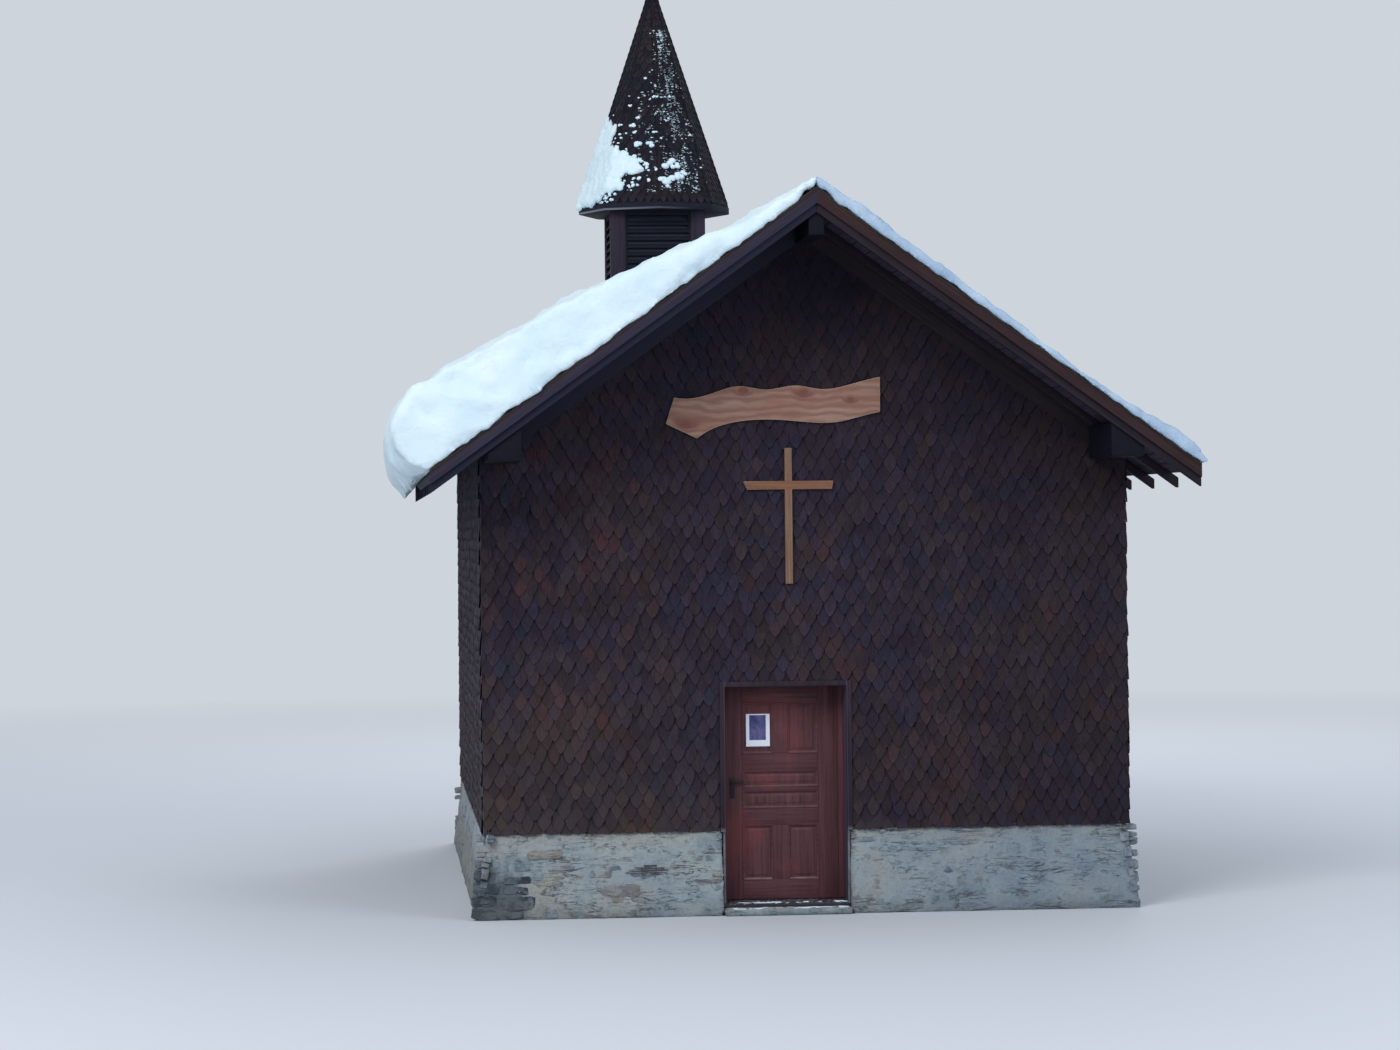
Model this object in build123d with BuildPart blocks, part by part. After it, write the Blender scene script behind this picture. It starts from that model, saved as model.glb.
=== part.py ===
"""Small mountain chapel with a rubble plinth, shingled walls, a snowy gable roof and a louvred turret.

Millimetres, +Z up. The front faces -Y, the ridge runs along Y, and the origin is on the ground under
the ridge, halfway along the building.
"""
from build123d import *
from math import cos, radians, sin, tan
import os

# Plan and walls
half_width = 2975
half_length = 4000
wall_thickness = 415
cladding_thickness = 35
plinth_height = 780
plinth_setback = 15
plinth_batter = 110
floor_thickness = 100

# Roof
ridge_height = 6550
pitch = 35.6
eave_reach = 3450
verge_overhang = 1100
covering_thickness = 25
deck_thickness = 72
rafter_depth = 75
rafter_width = 110
verge_rafter_width = 60
rafter_bays = 8
ridge_beam_width = 140
ridge_beam_depth = 150
purlin_width = 300
purlin_depth = 300
purlin_inset = 60
blocking_thickness = 45
bargeboard_thickness = 35
bargeboard_depth = 80
frieze_thickness = 40
frieze_depth = 120
ridge_cap_reach = 150
ridge_cap_thickness = 14

# Doorway
doorway_left = -790
doorway_width = 1173
doorway_head = 2110
sill_thickness = 35
sill_nosing = 30
sill_height = 100
threshold_step = 60
lining_thickness = 25
architrave_width = 47
architrave_thickness = 30
architrave_drop = 22
leaf_recess = 300
leaf_thickness = 48
leaf_gap = 8
leaf_bottom_gap = 6
stop_gap = 5

# Door leaf, as widths across and heights above the ground
panel_group_left = 206
panel_width = 277
muntin_width = 150
lower_panels = (285, 790)
waist_panel_low = (948, 1108)
waist_panel_high = (1142, 1290)
upper_panels = (1453, 1921)
panel_thickness = 22
panel_margin = 34
panel_bevel = 9
field_taper = 60
moulding_width = 14

# Door furniture
plate_width = 46
plate_height = 190
plate_thickness = 4
plate_centre_height = 1135
plate_from_edge = 110
spindle_radius = 9
spindle_length = 40
lever_length = 112
lever_thickness = 14
lever_depth = 21
lever_rounding = 4
lever_height = 1192
hinge_heights = (400, 1100, 1800)
hinge_from_edge = 6
hinge_eye_radius = 9
hinge_eye_bite = 1
hinge_pin_radius = 5
hinge_pin_clearance = 1
hinge_eye_height = 44
strap_length = 320
strap_height = 36
strap_thickness = 6
pintle_arm_height = 12
notice_width = 220
notice_height = 300
notice_thickness = 1.5
notice_from_edge = 245
notice_from_top = 284

# Cross and sign on the gable
cross_height = 1245
cross_width = 76
cross_thickness = 44
cross_foot_height = 3024
cross_x = -158
bar_length = 830
bar_width = 79
bar_height = 3927
bar_taper = 8
sign_thickness = 45
sign_left = -1278
sign_foot = 4362
sign_top_edge = (
    (75, 375), (442, 416), (678, 474), (911, 442), (1205, 477), (1411, 444), (1763, 502), (1976, 552),
)
sign_lower_edge = (
    (1973, 230), (1759, 180), (1583, 141), (1140, 156), (732, 159), (511, 117), (283, 0),
)
sign_point = (0, 135)

# Turret and spire
turret_x = -1045
turret_width = 960
post_width = 150
turret_top = 6755
roof_cut_margin = 240
slat_pitch = 77
slat_depth = 84
slat_thickness = 12
slat_angle = 42
louvre_stile = 16
louvre_inset = 12
louvre_head_gap = 10
skirt_height = 130
spire_radius = 756
spire_tip_height = 9100
spire_tip_radius = 12
spire_wall = 45
eave_radius = 774
eave_ring = 42
eave_depth = 70
soffit_thickness = 22

# Snow: shares of the slope with the depth there, then distances past the eave with the same
snow_at_ridge = 72
snow_depths = (
    (0.106, 137), (0.221, 208), (0.334, 296), (0.448, 409), (0.553, 532), (0.674, 637), (0.787, 689),
    (0.9, 759),
)
snow_nose = ((43, 811), (273, 766), (336, 592), (182, 191))
snow_end_reach = 30
snow_nose_drop = 30
right_snow_thickness = 80
right_snow_reach = 60
spire_snow_thickness = 75
spire_snow_top = 7850
spire_snow_sides = (120, 270)

# Worked out from the sizes above
slope = tan(radians(pitch))
plumb = 1 / cos(radians(pitch))
deck_level = covering_thickness
rafter_level = covering_thickness + deck_thickness
rafter_seat = rafter_level + rafter_depth
core_half_width = half_width - cladding_thickness
core_half_length = half_length - cladding_thickness
room_half_width = core_half_width - wall_thickness
room_half_length = core_half_length - wall_thickness
verge_y = half_length + verge_overhang
doorway_right = doorway_left + doorway_width
facade_y = -half_length
leaf_front = facade_y + leaf_recess
leaf_back = leaf_front + leaf_thickness
leaf_left = doorway_left + leaf_gap
leaf_right = doorway_right - leaf_gap
leaf_bottom = sill_height + leaf_bottom_gap
leaf_top = doorway_head - leaf_gap
lining_back = leaf_front - stop_gap
plinth_foot_y = half_length - plinth_setback + plinth_batter
hinge_x = leaf_right - hinge_from_edge
hinge_y = leaf_back + strap_thickness + hinge_eye_radius - hinge_eye_bite
notice_left = leaf_left + notice_from_edge
notice_bottom = leaf_top - notice_from_top - notice_height


def under_roof(x, depth=0):
    """Height of the roof slope over x, at a depth below its outer surface, square to the slope."""
    return ridge_height - abs(x) * slope - depth * plumb


def block(x0, x1, y0, y1, z0, z1, mode=Mode.ADD):
    """A box between two corners."""
    with Locations(((x0 + x1) / 2, (y0 + y1) / 2, (z0 + z1) / 2)):
        Box(x1 - x0, y1 - y0, z1 - z0, mode=mode)


def profile(points, front, back, mode=Mode.ADD):
    """An outline in X and Z, run along Y from front to back."""
    with BuildSketch(Plane.XZ.offset(-back)) as outline:
        with BuildLine():
            Polyline(*points, close=True)
        make_face()
    extrude(outline.sketch, amount=back - front, mode=mode)


def gable_points(half_span, foot, depth):
    """A pentagon with upright sides, whose top follows the roof."""
    return [
        (-half_span, foot),
        (half_span, foot),
        (half_span, under_roof(half_span, depth)),
        (0, under_roof(0, depth)),
        (-half_span, under_roof(half_span, depth)),
    ]


def slope_points(side, inner, outer, top_depth, bottom_depth):
    """One slope of the roof between two distances from the ridge, cut plumb at both ends."""
    return [
        (side * inner, under_roof(inner, top_depth)),
        (side * outer, under_roof(outer, top_depth)),
        (side * outer, under_roof(outer, bottom_depth)),
        (side * inner, under_roof(inner, bottom_depth)),
    ]


def chevron_points(reach, top_depth, bottom_depth):
    """Both slopes as one inverted V."""
    return [
        (-reach, under_roof(reach, top_depth)),
        (0, under_roof(0, top_depth)),
        (reach, under_roof(reach, top_depth)),
        (reach, under_roof(reach, bottom_depth)),
        (0, under_roof(0, bottom_depth)),
        (-reach, under_roof(reach, bottom_depth)),
    ]


def ridge_beam_points():
    """The ridge beam's section, with its top shaped to the rafters."""
    foot = under_roof(ridge_beam_width / 2, rafter_seat) - ridge_beam_depth
    return gable_points(ridge_beam_width / 2, foot, rafter_seat)


def purlin_points(side):
    """The eave purlin's section in the head of a side wall, with its top shaped to the rafters."""
    inner = core_half_width - purlin_width
    foot = under_roof(inner, rafter_seat) - purlin_depth
    return [
        (side * inner, foot),
        (side * core_half_width, foot),
        (side * core_half_width, under_roof(core_half_width, rafter_seat)),
        (side * inner, under_roof(inner, rafter_seat)),
    ]


def beam_pockets(front, back):
    """Cuts the places of the ridge beam and the two eave purlins."""
    for points in (ridge_beam_points(), purlin_points(-1), purlin_points(1)):
        profile(points, front, back, mode=Mode.SUBTRACT)


def save(piece, label):
    """Labels a finished piece and writes it."""
    piece.part.label = label
    export_step(piece.part, f"parts/{label}.step")


os.makedirs("parts", exist_ok=True)


# Floor and threshold
with BuildPart() as floor_slab:
    block(-room_half_width, room_half_width, -room_half_length, room_half_length, 0, floor_thickness)
save(floor_slab, "floor_slab")

with BuildPart() as threshold_stone:
    block(
        doorway_left,
        doorway_right,
        -plinth_foot_y - threshold_step,
        -room_half_length,
        0,
        sill_height - sill_thickness,
    )
    front_edge = threshold_stone.edges().filter_by(Axis.X).group_by(Axis.Y)[0].group_by(Axis.Z)[-1]
    fillet(front_edge, sill_thickness / 2)
save(threshold_stone, "threshold_stone")

# Battered rubble plinth, in pieces that meet at the lines of the walls
plinth_top_x = half_width - plinth_setback
plinth_top_y = half_length - plinth_setback
plinth_cuts = {
    "plinth_front_left": (-2 * half_width, doorway_left, -2 * half_length, -room_half_length),
    "plinth_front_right": (doorway_right, 2 * half_width, -2 * half_length, -room_half_length),
    "plinth_left": (-2 * half_width, -room_half_width, -room_half_length, room_half_length),
    "plinth_right": (room_half_width, 2 * half_width, -room_half_length, room_half_length),
    "plinth_rear": (-2 * half_width, 2 * half_width, room_half_length, 2 * half_length),
}
for name, (x0, x1, y0, y1) in plinth_cuts.items():
    with BuildPart() as plinth_piece:
        with BuildSketch(Plane.XY):
            Rectangle(2 * (plinth_top_x + plinth_batter), 2 * (plinth_top_y + plinth_batter))
        with BuildSketch(Plane.XY.offset(plinth_height)):
            Rectangle(2 * plinth_top_x, 2 * plinth_top_y)
        loft()
        block(
            -room_half_width,
            room_half_width,
            -room_half_length,
            room_half_length,
            0,
            plinth_height,
            mode=Mode.SUBTRACT,
        )
        block(x0, x1, y0, y1, 0, plinth_height, mode=Mode.INTERSECT)
    save(plinth_piece, name)

# Walls above the plinth
with BuildPart() as front_wall_left:
    block(-core_half_width, doorway_left, -core_half_length, -room_half_length, plinth_height, doorway_head)
save(front_wall_left, "front_wall_left")

with BuildPart() as front_wall_right:
    block(doorway_right, core_half_width, -core_half_length, -room_half_length, plinth_height, doorway_head)
save(front_wall_right, "front_wall_right")

with BuildPart() as front_gable:
    profile(
        gable_points(core_half_width, doorway_head, rafter_level), -core_half_length, -room_half_length
    )
    beam_pockets(-core_half_length, -room_half_length)
save(front_gable, "front_gable")

with BuildPart() as rear_wall:
    profile(
        gable_points(core_half_width, plinth_height, rafter_level), room_half_length, core_half_length
    )
    beam_pockets(room_half_length, core_half_length)
save(rear_wall, "rear_wall")

rafter_pitch = 2 * (half_length + frieze_thickness + rafter_width / 2) / rafter_bays
rafter_places = [(n - rafter_bays / 2) * rafter_pitch for n in range(rafter_bays + 1)]
rafter_spans = [(place - rafter_width / 2, place + rafter_width / 2) for place in rafter_places]
verge_rafter_face = verge_y - bargeboard_thickness
rafter_spans.append((-verge_rafter_face, verge_rafter_width - verge_rafter_face))
rafter_spans.append((verge_rafter_face - verge_rafter_width, verge_rafter_face))

for side, name in ((-1, "left_wall"), (1, "right_wall")):
    with BuildPart() as side_wall:
        profile(
            [
                (side * core_half_width, plinth_height),
                (side * room_half_width, plinth_height),
                (side * room_half_width, under_roof(room_half_width, rafter_seat)),
                (side * core_half_width, under_roof(core_half_width, rafter_seat)),
            ],
            -room_half_length,
            room_half_length,
        )
        profile(purlin_points(side), -room_half_length, room_half_length, mode=Mode.SUBTRACT)
    save(side_wall, name)

# Shingle skins
with BuildPart() as front_cladding:
    profile(gable_points(half_width, plinth_height, rafter_level), -half_length, -core_half_length)
    beam_pockets(-half_length, -core_half_length)
    block(
        doorway_left,
        doorway_right,
        -half_length,
        -core_half_length,
        plinth_height,
        doorway_head,
        mode=Mode.SUBTRACT,
    )
save(front_cladding, "front_cladding")

with BuildPart() as rear_cladding:
    profile(gable_points(half_width, plinth_height, rafter_level), core_half_length, half_length)
    beam_pockets(core_half_length, half_length)
save(rear_cladding, "rear_cladding")

for side, name in ((-1, "left_cladding"), (1, "right_cladding")):
    with BuildPart() as side_cladding:
        profile(
            [
                (side * core_half_width, plinth_height),
                (side * half_width, plinth_height),
                (side * half_width, under_roof(half_width, rafter_seat)),
                (side * core_half_width, under_roof(core_half_width, rafter_seat)),
            ],
            -core_half_length,
            core_half_length,
        )
    save(side_cladding, name)

# Roof timbers
with BuildPart() as ridge_beam:
    profile(ridge_beam_points(), purlin_inset - verge_y, verge_y - purlin_inset)
save(ridge_beam, "ridge_beam")

for side, name in ((-1, "eave_purlin_left"), (1, "eave_purlin_right")):
    with BuildPart() as eave_purlin:
        profile(purlin_points(side), purlin_inset - verge_y, verge_y - purlin_inset)
        # Beam filling between the rafters on the purlin
        filling = slope_points(
            side, core_half_width - blocking_thickness, core_half_width, rafter_level, rafter_seat
        )
        for start, end in zip(rafter_places, rafter_places[1:]):
            profile(
                filling,
                max(start + rafter_width / 2, -room_half_length),
                min(end - rafter_width / 2, room_half_length),
            )
    save(eave_purlin, name)

for side, name in ((-1, "rafters_left"), (1, "rafters_right")):
    with BuildPart() as rafters:
        for front, back in rafter_spans:
            profile(slope_points(side, 0, eave_reach, rafter_level, rafter_seat), front, back)
    save(rafters, name)

with BuildPart() as gable_friezes:
    for end in (-1, 1):
        front, back = sorted((end * half_length, end * (half_length + frieze_thickness)))
        profile(chevron_points(half_width, rafter_level, rafter_seat + frieze_depth), front, back)
        beam_pockets(front, back)
save(gable_friezes, "gable_friezes")

# Roof skin
for side, name in ((-1, "roof_deck_left"), (1, "roof_deck_right")):
    with BuildPart() as roof_deck:
        profile(
            slope_points(side, 0, eave_reach, deck_level, rafter_level),
            bargeboard_thickness - verge_y,
            verge_y - bargeboard_thickness,
        )
    save(roof_deck, name)

for side, name in ((-1, "roof_covering_left"), (1, "roof_covering_right")):
    with BuildPart() as roof_covering:
        profile(slope_points(side, 0, eave_reach, 0, deck_level), -verge_y, verge_y)
    save(roof_covering, name)

with BuildPart() as ridge_cap:
    profile(chevron_points(ridge_cap_reach, -ridge_cap_thickness, 0), -verge_y, verge_y)
save(ridge_cap, "ridge_cap")

for end, name in ((-1, "front_bargeboard"), (1, "rear_bargeboard")):
    front, back = sorted((end * verge_y, end * (verge_y - bargeboard_thickness)))
    with BuildPart() as bargeboard:
        profile(
            chevron_points(eave_reach, deck_level, deck_level + bargeboard_depth), front, back
        )
    save(bargeboard, name)

# Door frame: lining, head and architrave
with BuildPart() as door_frame:
    block(doorway_left, doorway_right, facade_y, lining_back, sill_height, doorway_head)
    block(
        doorway_left + lining_thickness,
        doorway_right - lining_thickness,
        facade_y,
        lining_back,
        sill_height,
        doorway_head - lining_thickness,
        mode=Mode.SUBTRACT,
    )
    block(
        doorway_left + lining_thickness - architrave_width,
        doorway_right - lining_thickness + architrave_width,
        facade_y - architrave_thickness,
        facade_y,
        plinth_height - architrave_drop,
        doorway_head + architrave_width - lining_thickness,
    )
    block(
        doorway_left + lining_thickness,
        doorway_right - lining_thickness,
        facade_y - architrave_thickness,
        facade_y,
        plinth_height - architrave_drop,
        doorway_head - lining_thickness,
        mode=Mode.SUBTRACT,
    )
save(door_frame, "door_frame")

with BuildPart() as door_sill:
    block(
        doorway_left,
        doorway_right,
        facade_y - sill_nosing,
        -room_half_length,
        sill_height - sill_thickness,
        sill_height,
    )
    nose = door_sill.edges().filter_by(Axis.X).group_by(Axis.Y)[0]
    fillet(nose, sill_thickness / 4)
save(door_sill, "door_sill")

# Door leaf: stiles and rails, with the panels held in them
group_left = leaf_left + panel_group_left
left_column = (group_left, group_left + panel_width)
right_column = (left_column[1] + muntin_width, left_column[1] + muntin_width + panel_width)
whole_width = (left_column[0], right_column[1])
panels = [
    (left_column, lower_panels),
    (right_column, lower_panels),
    (whole_width, waist_panel_low),
    (whole_width, waist_panel_high),
    (left_column, upper_panels),
    (right_column, upper_panels),
]
leaf_plane = Plane.XZ.offset(-leaf_back)
panel_plane = Plane.XZ.offset(-(leaf_front + leaf_back + panel_thickness) / 2)

with BuildPart() as door_leaf:
    block(leaf_left, leaf_right, leaf_front, leaf_back, leaf_bottom, leaf_top)
    with BuildSketch(leaf_plane):
        for (x0, x1), (z0, z1) in panels:
            with Locations(((x0 + x1) / 2, (z0 + z1) / 2)):
                Rectangle(x1 - x0, z1 - z0)
    extrude(amount=leaf_thickness, mode=Mode.SUBTRACT)
    front_rims = door_leaf.faces().filter_by(Axis.Y).sort_by(Axis.Y)[0].inner_wires().edges()
    chamfer(front_rims, moulding_width / 2)
save(door_leaf, "door_leaf")

with BuildPart() as door_panels:
    for (x0, x1), (z0, z1) in panels:
        with BuildSketch(panel_plane):
            with Locations(((x0 + x1) / 2, (z0 + z1) / 2)):
                Rectangle(x1 - x0, z1 - z0)
        extrude(amount=panel_thickness)
        # Raised field on the front face
        with BuildSketch(panel_plane.offset(panel_thickness)):
            with Locations(((x0 + x1) / 2, (z0 + z1) / 2)):
                Rectangle(x1 - x0 - 2 * panel_margin, z1 - z0 - 2 * panel_margin)
        extrude(amount=panel_bevel, taper=field_taper)
save(door_panels, "door_panels")

# Lock plates with levers on both faces of the leaf
plate_x = leaf_left + plate_from_edge
with BuildPart() as door_lock:
    for face_y, out in ((leaf_front, -1), (leaf_back, 1)):
        y0, y1 = sorted((face_y, face_y + out * plate_thickness))
        z0 = plate_centre_height - plate_height / 2
        block(plate_x - plate_width / 2, plate_x + plate_width / 2, y0, y1, z0, z0 + plate_height)
        spindle_plane = Plane(
            origin=(plate_x, face_y, lever_height), x_dir=(1, 0, 0), z_dir=(0, out, 0)
        )
        with BuildSketch(spindle_plane):
            Circle(spindle_radius)
        extrude(amount=spindle_length)
        lever_y = face_y + out * (spindle_length - lever_thickness / 2)
        with BuildSketch(Plane.YZ.offset(plate_x)):
            with Locations((lever_y, lever_height)):
                RectangleRounded(lever_thickness, lever_depth, lever_rounding)
        extrude(amount=lever_length)
save(door_lock, "door_lock")

# Strap hinges on the inner face, hung on pintles in the wall
with BuildPart() as hinge_straps:
    for height in hinge_heights:
        block(
            hinge_x - strap_length,
            hinge_x,
            leaf_back,
            leaf_back + strap_thickness,
            height - strap_height / 2,
            height + strap_height / 2,
        )
        with BuildSketch(Plane.XY.offset(height - hinge_eye_height / 2)):
            with Locations((hinge_x, hinge_y)):
                Circle(hinge_eye_radius)
        extrude(amount=hinge_eye_height)
        with BuildSketch(Plane.XY.offset(height - hinge_eye_height / 2)):
            with Locations((hinge_x, hinge_y)):
                Circle(hinge_pin_radius + hinge_pin_clearance)
        extrude(amount=hinge_eye_height, mode=Mode.SUBTRACT)
save(hinge_straps, "hinge_straps")

with BuildPart() as hinge_pintles:
    for height in hinge_heights:
        arm_top = height - hinge_eye_height / 2 - hinge_pin_clearance
        block(
            hinge_x - hinge_pin_radius,
            doorway_right,
            hinge_y - hinge_eye_radius,
            hinge_y + hinge_eye_radius,
            arm_top - pintle_arm_height,
            arm_top,
        )
        with BuildSketch(Plane.XY.offset(arm_top)):
            with Locations((hinge_x, hinge_y)):
                Circle(hinge_pin_radius)
        extrude(amount=hinge_eye_height + 2 * hinge_pin_clearance)
save(hinge_pintles, "hinge_pintles")

# Paper notice on the raised field of the upper left panel
notice_back = (leaf_front + leaf_back - panel_thickness) / 2 - panel_bevel
with BuildPart() as door_notice:
    block(
        notice_left,
        notice_left + notice_width,
        notice_back - notice_thickness,
        notice_back,
        notice_bottom,
        notice_bottom + notice_height,
    )
save(door_notice, "door_notice")

# Cross, half lapped, on the gable shingles
with BuildPart() as cross:
    block(
        cross_x - cross_width / 2,
        cross_x + cross_width / 2,
        facade_y - cross_thickness,
        facade_y,
        cross_foot_height,
        cross_foot_height + cross_height,
    )
    half_bar = bar_length / 2
    profile(
        [
            (cross_x - half_bar, bar_height + bar_width / 2),
            (cross_x + half_bar, bar_height + bar_width / 2),
            (cross_x + half_bar - bar_taper, bar_height - bar_width / 2),
            (cross_x - half_bar + bar_taper, bar_height - bar_width / 2),
        ],
        facade_y - cross_thickness,
        facade_y,
    )
save(cross, "cross")

# Waney-edged sign board, with wandering top and bottom edges
with BuildPart() as sign_board:
    sign_plane = Plane(origin=(sign_left, facade_y, sign_foot), x_dir=(1, 0, 0), z_dir=(0, -1, 0))
    with BuildSketch(sign_plane):
        with BuildLine():
            Spline(*sign_top_edge)
            Line(sign_top_edge[-1], sign_lower_edge[0])
            Spline(*sign_lower_edge)
            Polyline(sign_lower_edge[-1], sign_point, sign_top_edge[0])
        make_face()
    extrude(amount=sign_thickness)
save(sign_board, "sign_board")

# Turret posts, standing on the left slope
half_turret = turret_width / 2
turret_left = turret_x - half_turret
turret_right = turret_x + half_turret
roof_cut = [
    (turret_left - roof_cut_margin, under_roof(turret_left - roof_cut_margin)),
    (turret_right + roof_cut_margin, under_roof(turret_right + roof_cut_margin)),
    (turret_right + roof_cut_margin, 0),
    (turret_left - roof_cut_margin, 0),
]
post_offset = (turret_width - post_width) / 2
with BuildPart() as turret_posts:
    with BuildSketch(Plane.XY.offset(under_roof(turret_left))):
        with Locations((turret_x, 0)):
            with GridLocations(2 * post_offset, 2 * post_offset, 2, 2):
                Rectangle(post_width, post_width)
    extrude(amount=turret_top - under_roof(turret_left))
    profile(roof_cut, -turret_width, turret_width, mode=Mode.SUBTRACT)
save(turret_posts, "turret_posts")

# Louvres between the posts, each panel with stiles, a head, a sloping skirt and tilted slats
opening_width = turret_width - 2 * post_width
panel_foot = under_roof(turret_left)
slat_count = int((turret_top - panel_foot) / slat_pitch)


def louvre_panel(face_plane):
    """One louvred side, drawn on a plane whose x runs across and whose normal points outwards."""
    half_opening = opening_width / 2
    for sign in (-1, 1):
        with BuildSketch(face_plane) as stile:
            with Locations((sign * (half_opening - louvre_stile / 2), (turret_top + panel_foot) / 2)):
                Rectangle(louvre_stile, turret_top - panel_foot)
        extrude(stile.sketch, amount=-slat_depth)
    with BuildSketch(face_plane) as head:
        with Locations((0, turret_top - louvre_stile)):
            Rectangle(opening_width, 2 * louvre_stile)
    extrude(head.sketch, amount=-slat_depth)
    rise = slat_depth * tan(radians(slat_angle))
    side_plane = Plane(
        origin=face_plane.from_local_coords((-half_opening, 0, 0)),
        x_dir=-face_plane.z_dir,
        z_dir=face_plane.x_dir,
    )
    for n in range(slat_count):
        z = turret_top - 2 * louvre_stile - louvre_head_gap - rise - slat_thickness - n * slat_pitch
        with BuildSketch(side_plane) as slat:
            with BuildLine():
                Polyline(
                    (0, z),
                    (slat_depth, z + rise),
                    (slat_depth, z + rise + slat_thickness),
                    (0, z + slat_thickness),
                    close=True,
                )
            make_face()
        extrude(slat.sketch, amount=opening_width)


def skirt_board(x0, x1, y0, y1):
    """The board under a louvred side, which follows the slope of the roof."""
    profile(
        [
            (x0, under_roof(x0)),
            (x1, under_roof(x1)),
            (x1, under_roof(x1) + skirt_height),
            (x0, under_roof(x0) + skirt_height),
        ],
        y0,
        y1,
    )


louvre_face = half_turret - louvre_inset
with BuildPart() as turret_louvres:
    front_face = Plane(origin=(turret_x, -louvre_face, 0), x_dir=(1, 0, 0), z_dir=(0, -1, 0))
    rear_face = Plane(origin=(turret_x, louvre_face, 0), x_dir=(-1, 0, 0), z_dir=(0, 1, 0))
    left_face = Plane(origin=(turret_x - louvre_face, 0, 0), x_dir=(0, -1, 0), z_dir=(-1, 0, 0))
    right_face = Plane(origin=(turret_x + louvre_face, 0, 0), x_dir=(0, 1, 0), z_dir=(1, 0, 0))
    for face in (front_face, rear_face, left_face, right_face):
        louvre_panel(face)
    roof_skirt = [(x, z + skirt_height if z else z) for x, z in roof_cut]
    profile(roof_skirt, -turret_width, turret_width, mode=Mode.SUBTRACT)
    half_opening = opening_width / 2
    slat_back = louvre_face - slat_depth
    skirt_board(turret_x - half_opening, turret_x + half_opening, -louvre_face, -slat_back)
    skirt_board(turret_x - half_opening, turret_x + half_opening, slat_back, louvre_face)
    skirt_board(turret_x - louvre_face, turret_x - slat_back, -half_opening, half_opening)
    skirt_board(turret_x + slat_back, turret_x + louvre_face, -half_opening, half_opening)
save(turret_louvres, "turret_louvres")

# Octagonal spire with a corner to the front, hollow inside
spire_foot = turret_top + soffit_thickness


def octagon(radius):
    """An octagon about the turret, one corner on each axis."""
    with Locations((turret_x, 0)):
        RegularPolygon(radius, 8)


with BuildPart() as spire_eave:
    with BuildSketch(Plane.XY.offset(turret_top)):
        octagon(eave_radius)
    extrude(amount=soffit_thickness)
    with BuildSketch(Plane.XY.offset(spire_foot)):
        octagon(eave_radius)
        with Locations((turret_x, 0)):
            RegularPolygon(eave_radius - eave_ring, 8, mode=Mode.SUBTRACT)
    extrude(amount=eave_depth - soffit_thickness)
    with BuildSketch(Plane.XY.offset(turret_top)):
        with Locations((turret_x, 0)):
            Rectangle(opening_width, opening_width)
    extrude(amount=soffit_thickness, mode=Mode.SUBTRACT)
save(spire_eave, "spire_eave")

spire_base = turret_top + eave_depth
inner_tip_height = spire_tip_height - spire_wall * (spire_tip_height - spire_base) / spire_radius
with BuildPart() as spire_shell:
    with BuildSketch(Plane.XY.offset(spire_base)):
        octagon(spire_radius)
    with BuildSketch(Plane.XY.offset(spire_tip_height)):
        octagon(spire_tip_radius)
    loft()
    with BuildSketch(Plane.XY.offset(spire_base)):
        octagon(spire_radius - spire_wall)
    with BuildSketch(Plane.XY.offset(inner_tip_height)):
        octagon(spire_tip_radius)
    loft(mode=Mode.SUBTRACT)
save(spire_shell, "spire_shell")

# Snow on the left slope, thickening to a rounded nose past the eave
snow_reaches = [(share * eave_reach, depth) for share, depth in snow_depths]
snow_reaches += [(eave_reach + past, depth) for past, depth in snow_nose]
snow_outline = [(-reach, under_roof(reach) + depth) for reach, depth in snow_reaches]
snow_ridge = (0, ridge_height + snow_at_ridge)
with BuildPart() as roof_snow_left:
    with BuildSketch(Plane.XZ.offset(-(verge_y + snow_end_reach))):
        with BuildLine():
            Line((0, under_roof(0, -ridge_cap_thickness)), snow_ridge)
            Spline(snow_ridge, *snow_outline)
            Polyline(
                snow_outline[-1],
                (-eave_reach, under_roof(eave_reach) - snow_nose_drop),
                (-eave_reach, under_roof(eave_reach)),
                (-ridge_cap_reach, under_roof(ridge_cap_reach)),
                (-ridge_cap_reach, under_roof(ridge_cap_reach, -ridge_cap_thickness)),
                (0, under_roof(0, -ridge_cap_thickness)),
            )
        make_face()
    extrude(amount=2 * (verge_y + snow_end_reach))
    block(
        turret_left,
        turret_right,
        -half_turret,
        half_turret,
        under_roof(eave_reach),
        ridge_height,
        mode=Mode.SUBTRACT,
    )
save(roof_snow_left, "roof_snow_left")

# Thin snow on the right slope
right_edge = eave_reach + right_snow_reach
with BuildPart() as roof_snow_right:
    with BuildSketch(Plane.XZ.offset(-(verge_y + snow_end_reach))):
        with BuildLine():
            Line(snow_ridge, (0, under_roof(0, -ridge_cap_thickness)))
            Polyline(
                (0, under_roof(0, -ridge_cap_thickness)),
                (ridge_cap_reach, under_roof(ridge_cap_reach, -ridge_cap_thickness)),
                (ridge_cap_reach, under_roof(ridge_cap_reach)),
                (eave_reach, under_roof(eave_reach)),
            )
            Spline(
                (eave_reach, under_roof(eave_reach)),
                (right_edge, under_roof(eave_reach)),
                (eave_reach, under_roof(eave_reach, -right_snow_thickness)),
                (half_width, under_roof(half_width, -right_snow_thickness)),
                (half_width / 2, under_roof(half_width / 2, -right_snow_thickness)),
                (2 * ridge_cap_reach, under_roof(2 * ridge_cap_reach, -right_snow_thickness)),
                snow_ridge,
            )
        make_face()
    extrude(amount=2 * (verge_y + snow_end_reach))
save(roof_snow_right, "roof_snow_right")

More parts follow.
